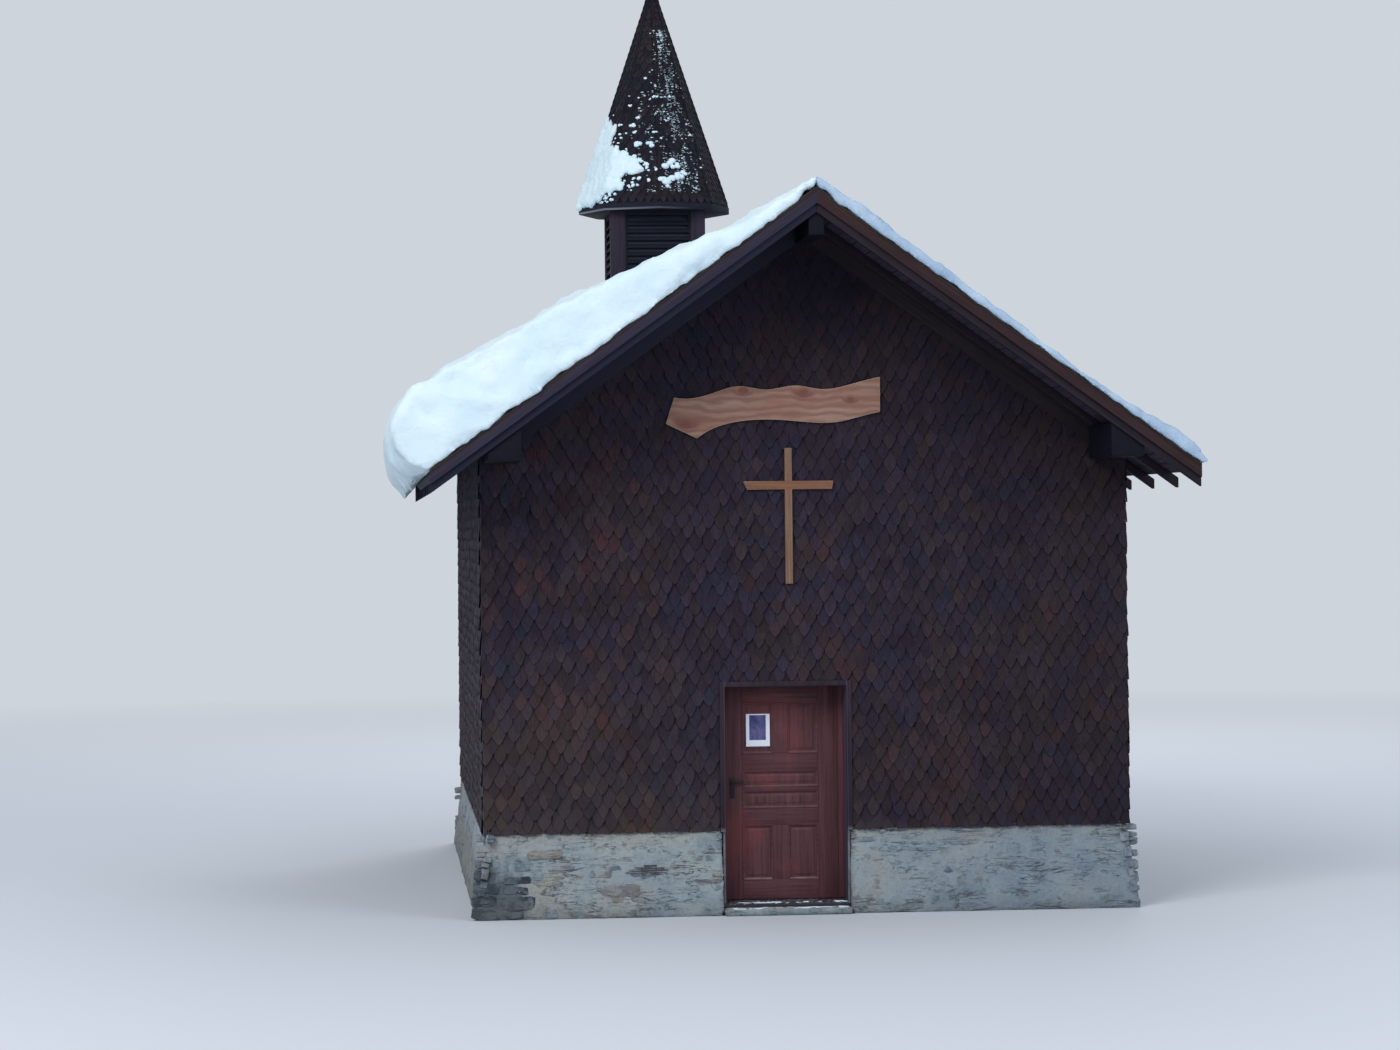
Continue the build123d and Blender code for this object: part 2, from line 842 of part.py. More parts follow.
# Snow patch on the weather side of the spire
snow_share = (spire_snow_top - spire_base) / (spire_tip_height - spire_base)
with BuildPart() as spire_snow:
    with BuildSketch(Plane.XY.offset(spire_base)):
        octagon(spire_radius + spire_snow_thickness)
    with BuildSketch(Plane.XY.offset(spire_snow_top)):
        octagon(spire_radius * (1 - snow_share) + spire_snow_thickness / 3)
    loft()
    with BuildSketch(Plane.XY.offset(spire_base)):
        octagon(spire_radius)
    with BuildSketch(Plane.XY.offset(spire_tip_height)):
        octagon(spire_tip_radius)
    loft(mode=Mode.SUBTRACT)
    with BuildSketch(Plane.XY.offset(spire_base)):
        with BuildLine():
            reach = 2 * spire_radius
            low, high = (radians(a) for a in spire_snow_sides)
            Polyline(
                (turret_x, 0),
                (turret_x + reach * cos(low), reach * sin(low)),
                (turret_x - 2 * reach, 0),
                (turret_x + reach * cos(high), reach * sin(high)),
                close=True,
            )
        make_face()
    extrude(amount=spire_tip_height - spire_base, mode=Mode.INTERSECT)
save(spire_snow, "spire_snow")
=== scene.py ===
"""Small mountain chapel: the finish of every surface, laid round the construction model.

Metres, in the model's own frame. The front faces -Y, +X is to the right seen from the front, and the
origin is on the ground under the ridge, halfway along the building.
"""
import math
import random

import bpy
import numpy as np
from mathutils import Matrix, Vector, noise


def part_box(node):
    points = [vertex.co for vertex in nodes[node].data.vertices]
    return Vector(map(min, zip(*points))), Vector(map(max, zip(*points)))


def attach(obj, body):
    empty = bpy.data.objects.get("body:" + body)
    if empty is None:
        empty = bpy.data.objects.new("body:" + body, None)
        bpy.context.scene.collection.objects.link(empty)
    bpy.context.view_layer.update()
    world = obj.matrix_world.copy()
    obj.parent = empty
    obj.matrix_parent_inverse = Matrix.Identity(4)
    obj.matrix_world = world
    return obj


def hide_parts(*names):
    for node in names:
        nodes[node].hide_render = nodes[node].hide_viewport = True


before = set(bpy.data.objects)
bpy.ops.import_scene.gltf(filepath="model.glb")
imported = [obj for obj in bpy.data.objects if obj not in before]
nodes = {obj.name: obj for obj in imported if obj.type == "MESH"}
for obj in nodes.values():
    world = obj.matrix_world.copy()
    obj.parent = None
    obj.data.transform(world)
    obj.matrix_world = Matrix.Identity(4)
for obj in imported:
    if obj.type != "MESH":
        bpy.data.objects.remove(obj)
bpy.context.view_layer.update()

# Without a seed the noise would differ from run to run
noise.seed_set(7)

# Sizes read from the construction model
front_low, front_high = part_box("front_cladding")
rear_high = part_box("rear_cladding")[1]
half_width = front_high.x
facade_y = front_low.y
rear_y = rear_high.y
plinth_top = front_low.z
covering_points = [vertex.co for vertex in nodes["roof_covering_right"].data.vertices]
ridge_z = max(point.z for point in covering_points)
eave_x = max(point.x for point in covering_points)
eave_z = max(point.z for point in covering_points if point.x > eave_x - 0.001)
slope = (ridge_z - eave_z) / eave_x
pitch = math.atan(slope)
plumb = 1 / math.cos(pitch)
verge_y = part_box("roof_covering_left")[1].y
doorway_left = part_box("door_sill")[0].x
doorway_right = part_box("door_sill")[1].x
doorway_middle = (doorway_left + doorway_right) / 2
doorway_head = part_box("front_gable")[0].z
leaf_low, leaf_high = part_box("door_leaf")
post_low, post_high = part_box("turret_posts")
spire_low, spire_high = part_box("spire_shell")
turret_x = (post_low.x + post_high.x) / 2
turret_reach = post_high.x - turret_x
spire_radius = (spire_high.x - spire_low.x) / 2
spire_foot = spire_low.z
spire_height = spire_high.z - spire_low.z
spire_half_side = math.radians(22.5)

# Shingles on the walls
shingle_width = 0.118
shingle_pitch = 0.124
shingle_course = 0.102
shingle_length = 0.205
shingle_butt = 0.011
shingle_head = 0.004

# Shingles on the spire
spire_shingle_width = 0.084
spire_shingle_course = 0.072
spire_shingle_length = 0.15
spire_shingle_butt = 0.009
spire_shingle_head = 0.003

# Edges gentler than this are shaded smooth, on cut pieces and on rough ones, in degrees
crisp = 32
rounded = 60

# Half the width over which a look changes from the left of the ridge to the right
ridge_blend = 0.02


def roof_z(x, depth=0.0):
    """Height of the roof slope over x, at a depth below its outer surface."""
    return ridge_z - abs(x) * slope - depth * plumb


def paint(red, green, blue):
    """A display colour, 0 to 255, as the linear colour that a shader takes."""
    parts = []
    for part in (red, green, blue):
        part /= 255
        parts.append(part / 12.92 if part <= 0.04045 else ((part + 0.055) / 1.055) ** 2.4)
    return (*parts, 1.0)


# Modelling helpers


def choose(obj):
    """Makes one object the only selected and the active one."""
    bpy.ops.object.select_all(action="DESELECT")
    obj.select_set(True)
    bpy.context.view_layer.objects.active = obj


def edit(obj):
    """Opens an object in edit mode with all of it selected."""
    choose(obj)
    bpy.ops.object.mode_set(mode="EDIT")
    bpy.ops.mesh.select_all(action="SELECT")


def close_edit():
    bpy.ops.object.mode_set(mode="OBJECT")


def select_where(obj, test):
    """Selects the vertices in edit mode that pass a test of their place."""
    bpy.ops.mesh.select_all(action="DESELECT")
    bpy.ops.mesh.select_mode(type="VERT")
    close_edit()
    for vertex in obj.data.vertices:
        vertex.select = test(vertex)
    bpy.ops.object.mode_set(mode="EDIT")


def added(kind, scale=None, **settings):
    """A new primitive, alone in its selection, with its place and a scale put in its mesh."""
    bpy.ops.object.select_all(action="DESELECT")
    getattr(bpy.ops.mesh, f"primitive_{kind}_add")(**settings)
    obj = bpy.context.object
    if scale is not None:
        obj.scale = scale
        bpy.ops.object.transform_apply(location=True, rotation=True, scale=True)
    return obj


def settle(obj, name, angle=crisp):
    """Names a finished object, puts its place in its mesh and smooths its gentle edges."""
    obj.name = name
    obj.data.name = name
    choose(obj)
    bpy.ops.object.transform_apply(location=True, rotation=True, scale=True)
    bpy.ops.object.shade_smooth_by_angle(angle=math.radians(angle))
    return obj


def apply_modifier(obj, kind, **settings):
    """Adds a modifier with its settings and applies it."""
    made = obj.modifiers.new(kind.lower(), kind)
    for key, value in settings.items():
        setattr(made, key, value)
    choose(obj)
    bpy.ops.object.modifier_apply(modifier=made.name)


def box_piece(name, low, high, bevel=0.003, segments=2):
    """A softened board between two corners."""
    low, high = Vector(low), Vector(high)
    obj = added("cube", high - low, size=1, location=(low + high) / 2)
    apply_modifier(obj, "BEVEL", width=bevel, segments=segments, limit_method="ANGLE")
    return settle(obj, name)


def join(pieces, name):
    """Joins several objects into the first."""
    bpy.ops.object.select_all(action="DESELECT")
    for piece in pieces:
        piece.select_set(True)
    bpy.context.view_layer.objects.active = pieces[0]
    bpy.ops.object.join()
    pieces[0].name = name
    pieces[0].data.name = name
    return pieces[0]


def copy_of(node, name):
    """A merged copy of a construction node's mesh, as a new object."""
    mesh = nodes[node].data.copy()
    mesh.materials.clear()
    obj = bpy.data.objects.new(name, mesh)
    mesh.name = name
    bpy.context.scene.collection.objects.link(obj)
    edit(obj)
    bpy.ops.mesh.remove_doubles(threshold=0.00002)
    bpy.ops.mesh.dissolve_limited(angle_limit=math.radians(1))
    bpy.ops.mesh.normals_make_consistent(inside=False)
    close_edit()
    return obj


def softened(node, name, bevel, segments=2):
    """A copy of a construction node with its sharp edges eased."""
    obj = copy_of(node, name)
    apply_modifier(
        obj, "BEVEL", width=bevel, segments=segments, limit_method="ANGLE", angle_limit=math.radians(25)
    )
    return settle(obj, name)


def finish(obj, material, body="building", replaced=()):
    """Gives a piece its material and the body that it rides on, and hides the parts it replaces."""
    obj.data.materials.clear()
    obj.data.materials.append(material)
    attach(obj, body)
    if replaced:
        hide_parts(*replaced)
    return obj


def eased(node, name, bevel, material, body="building", segments=2):
    """Shows a construction node with its sharp edges eased."""
    return finish(softened(node, name, bevel, segments), material, body, replaced=(node,))


def lay(name, template, places, varieties=None, fit=None):
    """Joins copies of a template's mesh, one at each matrix, into one piece.

    varieties holds three numbers for each copy, kept on its vertices as the attribute variety. The
    attribute within holds each point's place in the pattern. fit may move the points of the whole piece.
    """
    points = np.array([vertex.co for vertex in template.data.vertices])
    faces = [tuple(face.vertices) for face in template.data.polygons]
    turned = [points @ np.array(place.to_3x3()).T + np.array(place.translation) for place in places]
    everything = np.concatenate(turned)
    if fit:
        everything = fit(everything)
    count = len(points)
    all_faces = [tuple(n * count + index for index in face) for n in range(len(places)) for face in faces]
    mesh = bpy.data.meshes.new(name)
    mesh.from_pydata(everything.tolist(), [], all_faces)
    if varieties is not None:
        spread_out = np.repeat(np.array(varieties, dtype=np.float32), count, axis=0)
        within = np.tile(points.astype(np.float32), (len(places), 1))
        for label, values in (("variety", spread_out), ("within", within)):
            mesh.attributes.new(label, "FLOAT_VECTOR", "POINT").data.foreach_set("vector", values.ravel())
    obj = bpy.data.objects.new(name, mesh)
    bpy.context.scene.collection.objects.link(obj)
    choose(obj)
    bpy.ops.object.shade_smooth_by_angle(angle=math.radians(crisp))
    return obj


def discard(obj):
    """Removes a template once its copies are made."""
    mesh = obj.data
    bpy.data.objects.remove(obj)
    bpy.data.meshes.remove(mesh)


def axes(across, outward, upward, origin):
    """A matrix from three directions and a place."""
    matrix = Matrix((across, outward, upward)).transposed().to_4x4()
    matrix.translation = origin
    return matrix


def share_of(value, low, high):
    """How far a number lies from low to high, from 0 to 1."""
    return min(max((value - low) / (high - low), 0.0), 1.0)


def roughen(obj, size, amount, seed=0.0, test=None):
    """Moves a mesh's points along their normals by a noise of that size."""
    shift = Vector((seed, seed * 2, seed * 3))
    moved = []
    for vertex in obj.data.vertices:
        place = vertex.co.copy()
        if test is None or test(place):
            place += vertex.normal * (noise.fractal(place / size + shift, 1.0, 2.0, 3) * amount)
        moved.append(place)
    for vertex, place in zip(obj.data.vertices, moved):
        vertex.co = place
    obj.data.update()


# Shader helpers


def plug(tree, made, values):
    """Fills a shader node's inputs with values or links."""
    for key, value in values.items():
        value = getattr(value, "socket", value)
        if isinstance(value, bpy.types.NodeSocket):
            tree.links.new(value, made.inputs[key])
        else:
            made.inputs[key].default_value = value


def put(tree, kind, values=None, **settings):
    """Adds a shader node, sets its properties and fills its inputs."""
    made = tree.nodes.new("ShaderNode" + kind)
    for key, value in settings.items():
        setattr(made, key, value)
    plug(tree, made, values or {})
    return made


def tone(colour):
    """A display colour of three numbers as a linear one. Anything else stays as it is."""
    return paint(*colour) if isinstance(colour, tuple) and len(colour) == 3 else colour


class Value:
    """A number, colour or vector inside a shader, with what can be worked out from it."""

    def __init__(self, tree, socket):
        self.tree = tree
        self.socket = socket

    def new(self, kind, values, output=0, **settings):
        """One output of a new node in the same shader."""
        return Value(self.tree, put(self.tree, kind, values, **settings).outputs[output])

    def maths(self, operation, other=0.0, clamp=False):
        return self.new("Math", {0: self, 1: other}, operation=operation, use_clamp=clamp)

    def __add__(self, other):
        return self.maths("ADD", other)

    def __sub__(self, other):
        return self.maths("SUBTRACT", other)

    def __rsub__(self, other):
        return self.new("Math", {0: other, 1: self}, operation="SUBTRACT")

    def __mul__(self, other):
        return self.maths("MULTIPLY", other)

    def __abs__(self):
        return self.maths("ABSOLUTE")

    def spread(self, low, high, new_low=0.0, new_high=1.0):
        """Maps a range of this number to another range, clamped."""
        return self.new("MapRange", {"Value": self, 1: low, 2: high, 3: new_low, 4: new_high}, "Result")

    def between(self, first, second):
        """Two colours mixed by this number."""
        values = {0: self, 6: tone(first), 7: tone(second)}
        return self.new("Mix", values, 2, data_type="RGBA", blend_type="MIX")

    def shaded(self, share, other):
        """This colour multiplied by another, by a share."""
        values = {0: share, 6: self, 7: other}
        return self.new("Mix", values, 2, data_type="RGBA", blend_type="MULTIPLY")

    def ramped(self, stops):
        """The colour for this number, between stops that hold a place and a display colour each."""
        made = put(self.tree, "ValToRGB", {0: self})
        marks = made.color_ramp.elements
        marks[0].color = paint(*stops[0][1])
        marks[1].color = paint(*stops[-1][1])
        for position, colour in stops[1:-1]:
            marks.new(position).color = paint(*colour)
        return Value(self.tree, made.outputs["Color"])

    def parts(self):
        """The three numbers of this vector."""
        return [Value(self.tree, socket) for socket in put(self.tree, "SeparateXYZ", {0: self}).outputs]

    def stretched(self, factors):
        return self.new("VectorMath", {0: self, 1: factors}, operation="MULTIPLY")

    def length(self):
        return self.new("VectorMath", {0: self}, "Value", operation="LENGTH")

    def cloud(self, scale, detail=4.0, roughness=0.55, distortion=0.0):
        """Noise over this vector, from 0 to 1 with its middle at a half."""
        values = {"Vector": self, "Scale": scale, "Detail": detail, "Roughness": roughness}
        return self.new("TexNoise", {**values, "Distortion": distortion}, "Fac")

    def used(self, group, **values):
        """What a shader group makes of this vector, by the outputs' names."""
        made = self.tree.nodes.new("ShaderNodeGroup")
        made.node_tree = group
        plug(self.tree, made, {"Vector": self, **values})
        return {socket.name: Value(self.tree, socket) for socket in made.outputs}


class Look:
    """A material in the making: its shader, and each point's place as a vector and three numbers."""

    def __init__(self, name, roughness=0.75, metallic=0.0, specular=0.35):
        self.material = bpy.data.materials.new(name)
        self.material.use_nodes = True
        self.tree = self.material.node_tree
        self.shader = self.tree.nodes["Principled BSDF"]
        plug(self.tree, self.shader, {
            "Roughness": roughness, "Metallic": metallic, "Specular IOR Level": specular,
        })
        self.place = self.given("TexCoord", "Object")
        self.x, self.y, self.z = self.place.parts()

    def given(self, kind, output, **settings):
        """One output of a node that needs no input."""
        return Value(self.tree, put(self.tree, kind, **settings).outputs[output])

    def facing(self):
        """The three numbers of the direction in which the surface faces."""
        return self.given("NewGeometry", "Normal").parts()

    def kept(self, name):
        """The three numbers of an attribute that is kept on the vertices."""
        return self.given("Attribute", "Vector", attribute_name=name).parts()

    def done(self, colour, height=None, distance=0.0, strength=0.8):
        """Feeds the shader a colour and perhaps a height as a bump, and gives the material."""
        plug(self.tree, self.shader, {"Base Color": colour})
        if height is not None:
            bump = put(self.tree, "Bump", {"Height": height, "Distance": distance, "Strength": strength})
            plug(self.tree, self.shader, {"Normal": bump.outputs["Normal"]})
        return self.material


def make_group(name, inputs, outputs):
    """An empty shader group: its tree, its inputs by name, and the node that takes its outputs.

    Each input is a name, a kind and a starting value. The outputs are names of numbers.
    """
    tree = bpy.data.node_groups.new(name, "ShaderNodeTree")
    for label, kind, start in inputs:
        socket = tree.interface.new_socket(name=label, in_out="INPUT", socket_type="NodeSocket" + kind)
        if start is not None:
            socket.default_value = start
    for label in outputs:
        tree.interface.new_socket(name=label, in_out="OUTPUT", socket_type="NodeSocketFloat")
    given = {socket.name: Value(tree, socket) for socket in tree.nodes.new("NodeGroupInput").outputs}
    return tree, given, tree.nodes.new("NodeGroupOutput")


def grain_group():
    """Wood grain along one axis: a colour mask and a height."""
    inputs = [("Vector", "Vector", None), ("Stretch", "Vector", (2.0, 40.0, 40.0))]
    tree, given, sink = make_group("wood grain", inputs, ("Mask", "Height"))
    drawn = given["Vector"].stretched(given["Stretch"])
    broad = drawn.cloud(0.35, 3.0, 0.5, 0.6)
    lines = drawn.cloud(1.0, 6.0, 0.65, 0.3).spread(0.3, 0.7)
    mask = (lines * 0.55 + broad * 0.5).maths("SUBTRACT", 0.05, clamp=True)
    plug(tree, sink, {"Mask": mask, "Height": lines})
    return tree


def weather_group():
    """Broad mottling and upright runs of damp, from 0 to 1."""
    inputs = [("Vector", "Vector", None), ("Scale", "Float", 1.0), ("Runs", "Float", 0.5)]
    tree, given, sink = make_group("weather", inputs, ("Mask",))
    where, scale = given["Vector"], given["Scale"]
    patches = where.cloud(scale, 5.0, 0.6)
    runs = where.stretched((9.0, 9.0, 0.7)).cloud(scale, 4.0, 0.6)
    both = where.new("Mix", {0: given["Runs"], 2: patches, 3: runs}, data_type="FLOAT")
    plug(tree, sink, {"Mask": both.spread(0.3, 0.7)})
    return tree


def rime_group():
    """Snow dust on what faces up: a mask from the surface's tilt, broken by noise."""
    inputs = [
        ("Vector", "Vector", None), ("Amount", "Float", 0.5), ("Scale", "Float", 30.0),
        ("Tilt", "Float", 0.35),
    ]
    tree, given, sink = make_group("rime", inputs, ("Mask",))
    up = Value(tree, put(tree, "NewGeometry").outputs["Normal"]).parts()[2]
    facing = up.spread(given["Tilt"], given["Tilt"] + 0.25)
    limit = 0.85 - given["Amount"] * 0.6
    flecks = given["Vector"].cloud(given["Scale"], 4.0, 0.6).spread(limit, limit + 0.08)
    plug(tree, sink, {"Mask": facing * flecks})
    return tree


wood_grain = grain_group()
weather = weather_group()
rime = rime_group()


# Materials


def slope_place(look):
    """Object coordinates with x laid along the roof slope, the same on both sides."""
    out = abs(look.x)
    along = out * math.cos(pitch) - look.z * math.sin(pitch)
    across = out * math.sin(pitch) + look.z * math.cos(pitch)
    return look.place.new("CombineXYZ", {0: along, 1: look.y, 2: across})


def door_wear(look, colour):
    """The door's colour, redder along its hinged edge and dusty on its ledges."""
    edge = look.x.spread(leaf_high.x - 0.045, leaf_high.x - 0.012, 0.0, 0.8)
    colour = (edge * look.z.spread(0.2, 1.9, 0.35, 1.0)).between(colour, (132, 66, 62))
    ledge = look.facing()[2].spread(0.25, 0.6) * look.place.cloud(9.0).spread(0.35, 0.6, 0.2, 0.8)
    return (ledge * look.z.spread(0.95, 0.35, 0.3, 0.9)).between(colour, (136, 116, 118))


def frame_painted_light_and_tones(look, colour):
    """The door frame's colour: painted light in the reveal, against the shade there, and paler on the inner
    arris and low on its front.
    """
    aside, forward, _ = look.facing()
    # Painted light: the reveal is made paler to make up for the shade it lies in
    reveal = abs(aside).spread(0.5, 0.9) * look.y.spread(facade_y, facade_y + 0.04, 0.0, 0.45)
    colour = reveal.between(colour, (102, 86, 104))
    forward = forward.spread(-0.6, -0.9)
    low = forward * look.z.spread(plinth_top + 0.02, plinth_top - 0.02)
    # Paler on its front below the plinth's top
    paler_low = low * look.place.cloud(7.0).spread(0.3, 0.6, 0.35, 0.85)
    colour = paler_low.between(colour, (122, 124, 136))
    arris = (doorway_right - doorway_left) / 2 - 0.025
    off_arris = abs(look.x - doorway_middle) - arris
    line = off_arris.spread(0.009, 0.004) * off_arris.spread(-0.004, 0.0) * forward * 0.35
    return line.between(colour, (98, 90, 106))


def verge_painted_light(look, colour):
    """The left verge's colour, painted bluer and lighter underneath as the light of the snow."""
    under = look.facing()[2].spread(-0.3, -0.6) * look.x.spread(ridge_blend, -ridge_blend)
    return under.between(colour, (66, 76, 116))


def rafter_painted_light(look, colour):
    """The rafters' colour, painted bluer on the left as the light of the snow."""
    return look.x.spread(ridge_blend, -ridge_blend, 0.0, 0.7).between(colour, (30, 34, 52))


def louvre_painted_light(look, colour):
    """The slats' colour, painted lighter where they lie back in the openings, against the shade there."""
    reach = abs(look.x - turret_x).maths("MAXIMUM", abs(look.y))
    deep = reach.spread(turret_reach - 0.02, turret_reach - 0.05, 0.0, 0.8)
    return deep.between(colour, (58, 62, 80))


def eave_tones(look, colour):
    """The spire eave's colour: pale along its lower edge, brown underneath."""
    under = look.facing()[2].spread(-0.6, -0.9)
    colour = under.between(colour, (26, 22, 30))
    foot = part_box("spire_eave")[0].z
    lip = look.z.spread(foot + 0.024, foot + 0.016)
    lip *= look.x.spread(turret_x + 0.35, turret_x - 0.75, 0.0, 0.9)
    return (lip * (1.0 - under)).between(colour, (124, 128, 142))


def timber(name, dark, light, stretch, bump=0.002, roughness=0.72, frost=0.0, place=None, tint=None,
           runs=0.5, shaded=None, wear_and_painted_light=None):
    """Weathered timber: grain between two colours, mottled, with an optional dust of snow.

    stretch is short along the grain. tint is a colour for patches, shaded one for all that lies left
    of the ridge, and wear_and_painted_light a function that changes the colour by place, for marks of use and
    for painted light and shade.
    """
    look = Look(name, roughness, specular=0.14)
    grain = (place(look) if place else look.place).used(wood_grain, Stretch=stretch)
    colour = grain["Mask"].between(dark, light)
    paler_mask = look.place.used(weather, Scale=1.6, Runs=runs)["Mask"]
    colour = paler_mask.between(colour.shaded(0.45, (0.35, 0.35, 0.38, 1.0)), colour)
    if tint:
        patch = look.place.cloud(2.2, 3.0).spread(0.52, 0.66)
        colour = (patch * 0.7).between(colour, tint)
    if shaded:
        left = look.x.spread(ridge_blend, -ridge_blend, 0.0, 0.8)
        colour = left.between(colour, grain["Mask"].between((34, 30, 40), shaded))
    if wear_and_painted_light:
        colour = wear_and_painted_light(look, colour)
    if frost:
        dust = look.place.used(rime, Amount=frost, Scale=45.0)["Mask"]
        colour = (dust * 0.75).between(colour, (205, 215, 225))
    return look.done(colour, grain["Height"], bump)


def wall_tones_and_painted_light(look, colour, bright, under, amount):
    """The wall shingles' colour by place: paler low on the left, painted shade high in the gable and
    towards the right, and painted light on the left side wall.
    """
    paler_mask = look.z.spread(2.6, 0.8) * look.x.spread(1.0, -half_width) * amount
    paler_mask *= bright.spread(0.0, 1.0, 0.5, 1.0) * under
    colour = paler_mask.between(colour, (74, 64, 58))
    # Painted shade under the roof, darker up the gable
    colour = look.z.spread(3.4, 5.6, 0.0, 0.6).between(colour, (26, 22, 33))
    # Painted shade, darker towards the right
    colour = look.x.spread(0.2, half_width, 0.05, 0.4).between(colour, (33, 26, 26))
    # Painted light on the left side wall, paler in streaks
    streak = look.place.stretched((1.0, 20.0, 1.4)).cloud(1.0, 4.0, 0.6).spread(0.35, 0.65)
    side_light = streak.between((66, 60, 68), (116, 112, 124))
    side = look.x.spread(-half_width + 0.001, -half_width - 0.004, 0.0, 0.42)
    return side.between(colour, side_light)


def shingle_material(name, tones, depth, frost, gap, course, moss=0.0, painted_shade_and_tone=0.0):
    """Shingles that differ in patches and from one to the next, with painted shadow under the edge of the one
    above.
    """
    look = Look(name, 0.85, specular=0.12)
    where = look.place
    bright, kind, seed = look.kept("variety")
    aside, _, up = look.kept("within")
    kind = kind * 0.52 + where.cloud(1.4, 6.0, 0.66).spread(0.32, 0.68) * 0.5
    colour = kind.ramped([(n / (len(tones) - 1), shade) for n, shade in enumerate(tones)])
    shift = where.new("CombineXYZ", {0: seed, 1: seed, 2: seed})
    grain = where.new("VectorMath", {0: where, 1: shift}, operation="ADD")
    grain = grain.used(wood_grain, Stretch=(75.0, 75.0, 9.0))
    lightness = bright.spread(0.0, 1.0, 0.8, 1.24) * grain["Mask"].spread(0.1, 0.9, 0.62, 1.34)
    patches = where.used(weather, Scale=1.3, Runs=0.35)["Mask"]
    lightness *= patches.spread(0.0, 1.0, 0.78, 1.2)
    # Painted shadow: darker just under the lower right edge of the shingle above
    edge = (aside * (2 / gap) + 2.0) * course
    under = (edge - up).spread(course * 0.02, course * 0.42, 0.7, 1.0)
    # Lighter in patches near the tip
    paler_tips = up.spread(course * 0.6, course * 0.1) * where.cloud(16.0, 4.0, 0.6).spread(0.42, 0.62, 0.0, 0.3)
    lightness = lightness * under * (paler_tips + 0.98)
    colour = colour.shaded(1.0, where.new("CombineXYZ", {0: lightness, 1: lightness, 2: lightness}))
    if painted_shade_and_tone:
        colour = wall_tones_and_painted_light(look, colour, bright, under, painted_shade_and_tone)
    if moss:
        spots = where.cloud(3.2, 5.0, 0.6).spread(0.52, 0.62, 0.0, moss)
        colour = spots.between(colour, (28, 32, 28))
    dust = where.used(rime, Amount=frost, Scale=55.0, Tilt=0.3)["Mask"]
    return look.done((dust * 0.8).between(colour, (215, 224, 235)), grain["Height"], depth)


def snow_material(name, shade_tone, full):
    """Settled snow: almost white, with soft patches of a bluer painted shade, finely grained."""
    look = Look(name, 0.62, specular=0.25)
    colour = look.place.cloud(2.3).spread(0.3, 0.7).between(shade_tone, full)
    height = look.place.cloud(14.0, 6.0, 0.65) + look.place.cloud(160.0, 3.0, 0.7) * 0.18
    return look.done(colour, height, 0.02, 0.55)


def rime_material():
    """Thin grey-green rime, duller than snow."""
    look = Look("rime_crust", 0.7, specular=0.3)
    return look.done(look.place.cloud(30.0, 3.0).between((96, 112, 116), (176, 190, 200)))


# The stones' colours by kind: grey, then ochre and brown, and the darkest last
stone_tones = (
    (0.0, (112, 124, 134)), (0.4, (138, 146, 150)), (0.6, (146, 142, 132)), (0.73, (134, 138, 138)),
    (0.78, (152, 140, 120)), (0.83, (146, 132, 116)), (0.86, (128, 122, 122)), (0.91, (118, 116, 118)),
    (0.94, (80, 72, 66)), (0.97, (70, 62, 58)), (1.0, (44, 48, 50)),
)


def stone_face(look, bed):
    """The stones' own colour, layered, with smears of the mortar bed's colour."""
    kind = look.kept("variety")[1]
    layers = look.place.stretched((6.0, 6.0, 60.0)).cloud(1.0, 5.0, 0.65)
    colour = layers.spread(0.45, 0.72, 0.0, 0.5).between(kind.ramped(stone_tones), (78, 82, 86))
    smear = look.place.cloud(8.0, 5.0, 0.6).spread(0.44, 0.56)
    return (smear * kind.spread(0.76, 0.74, 0.5, 0.95)).between(colour, bed)


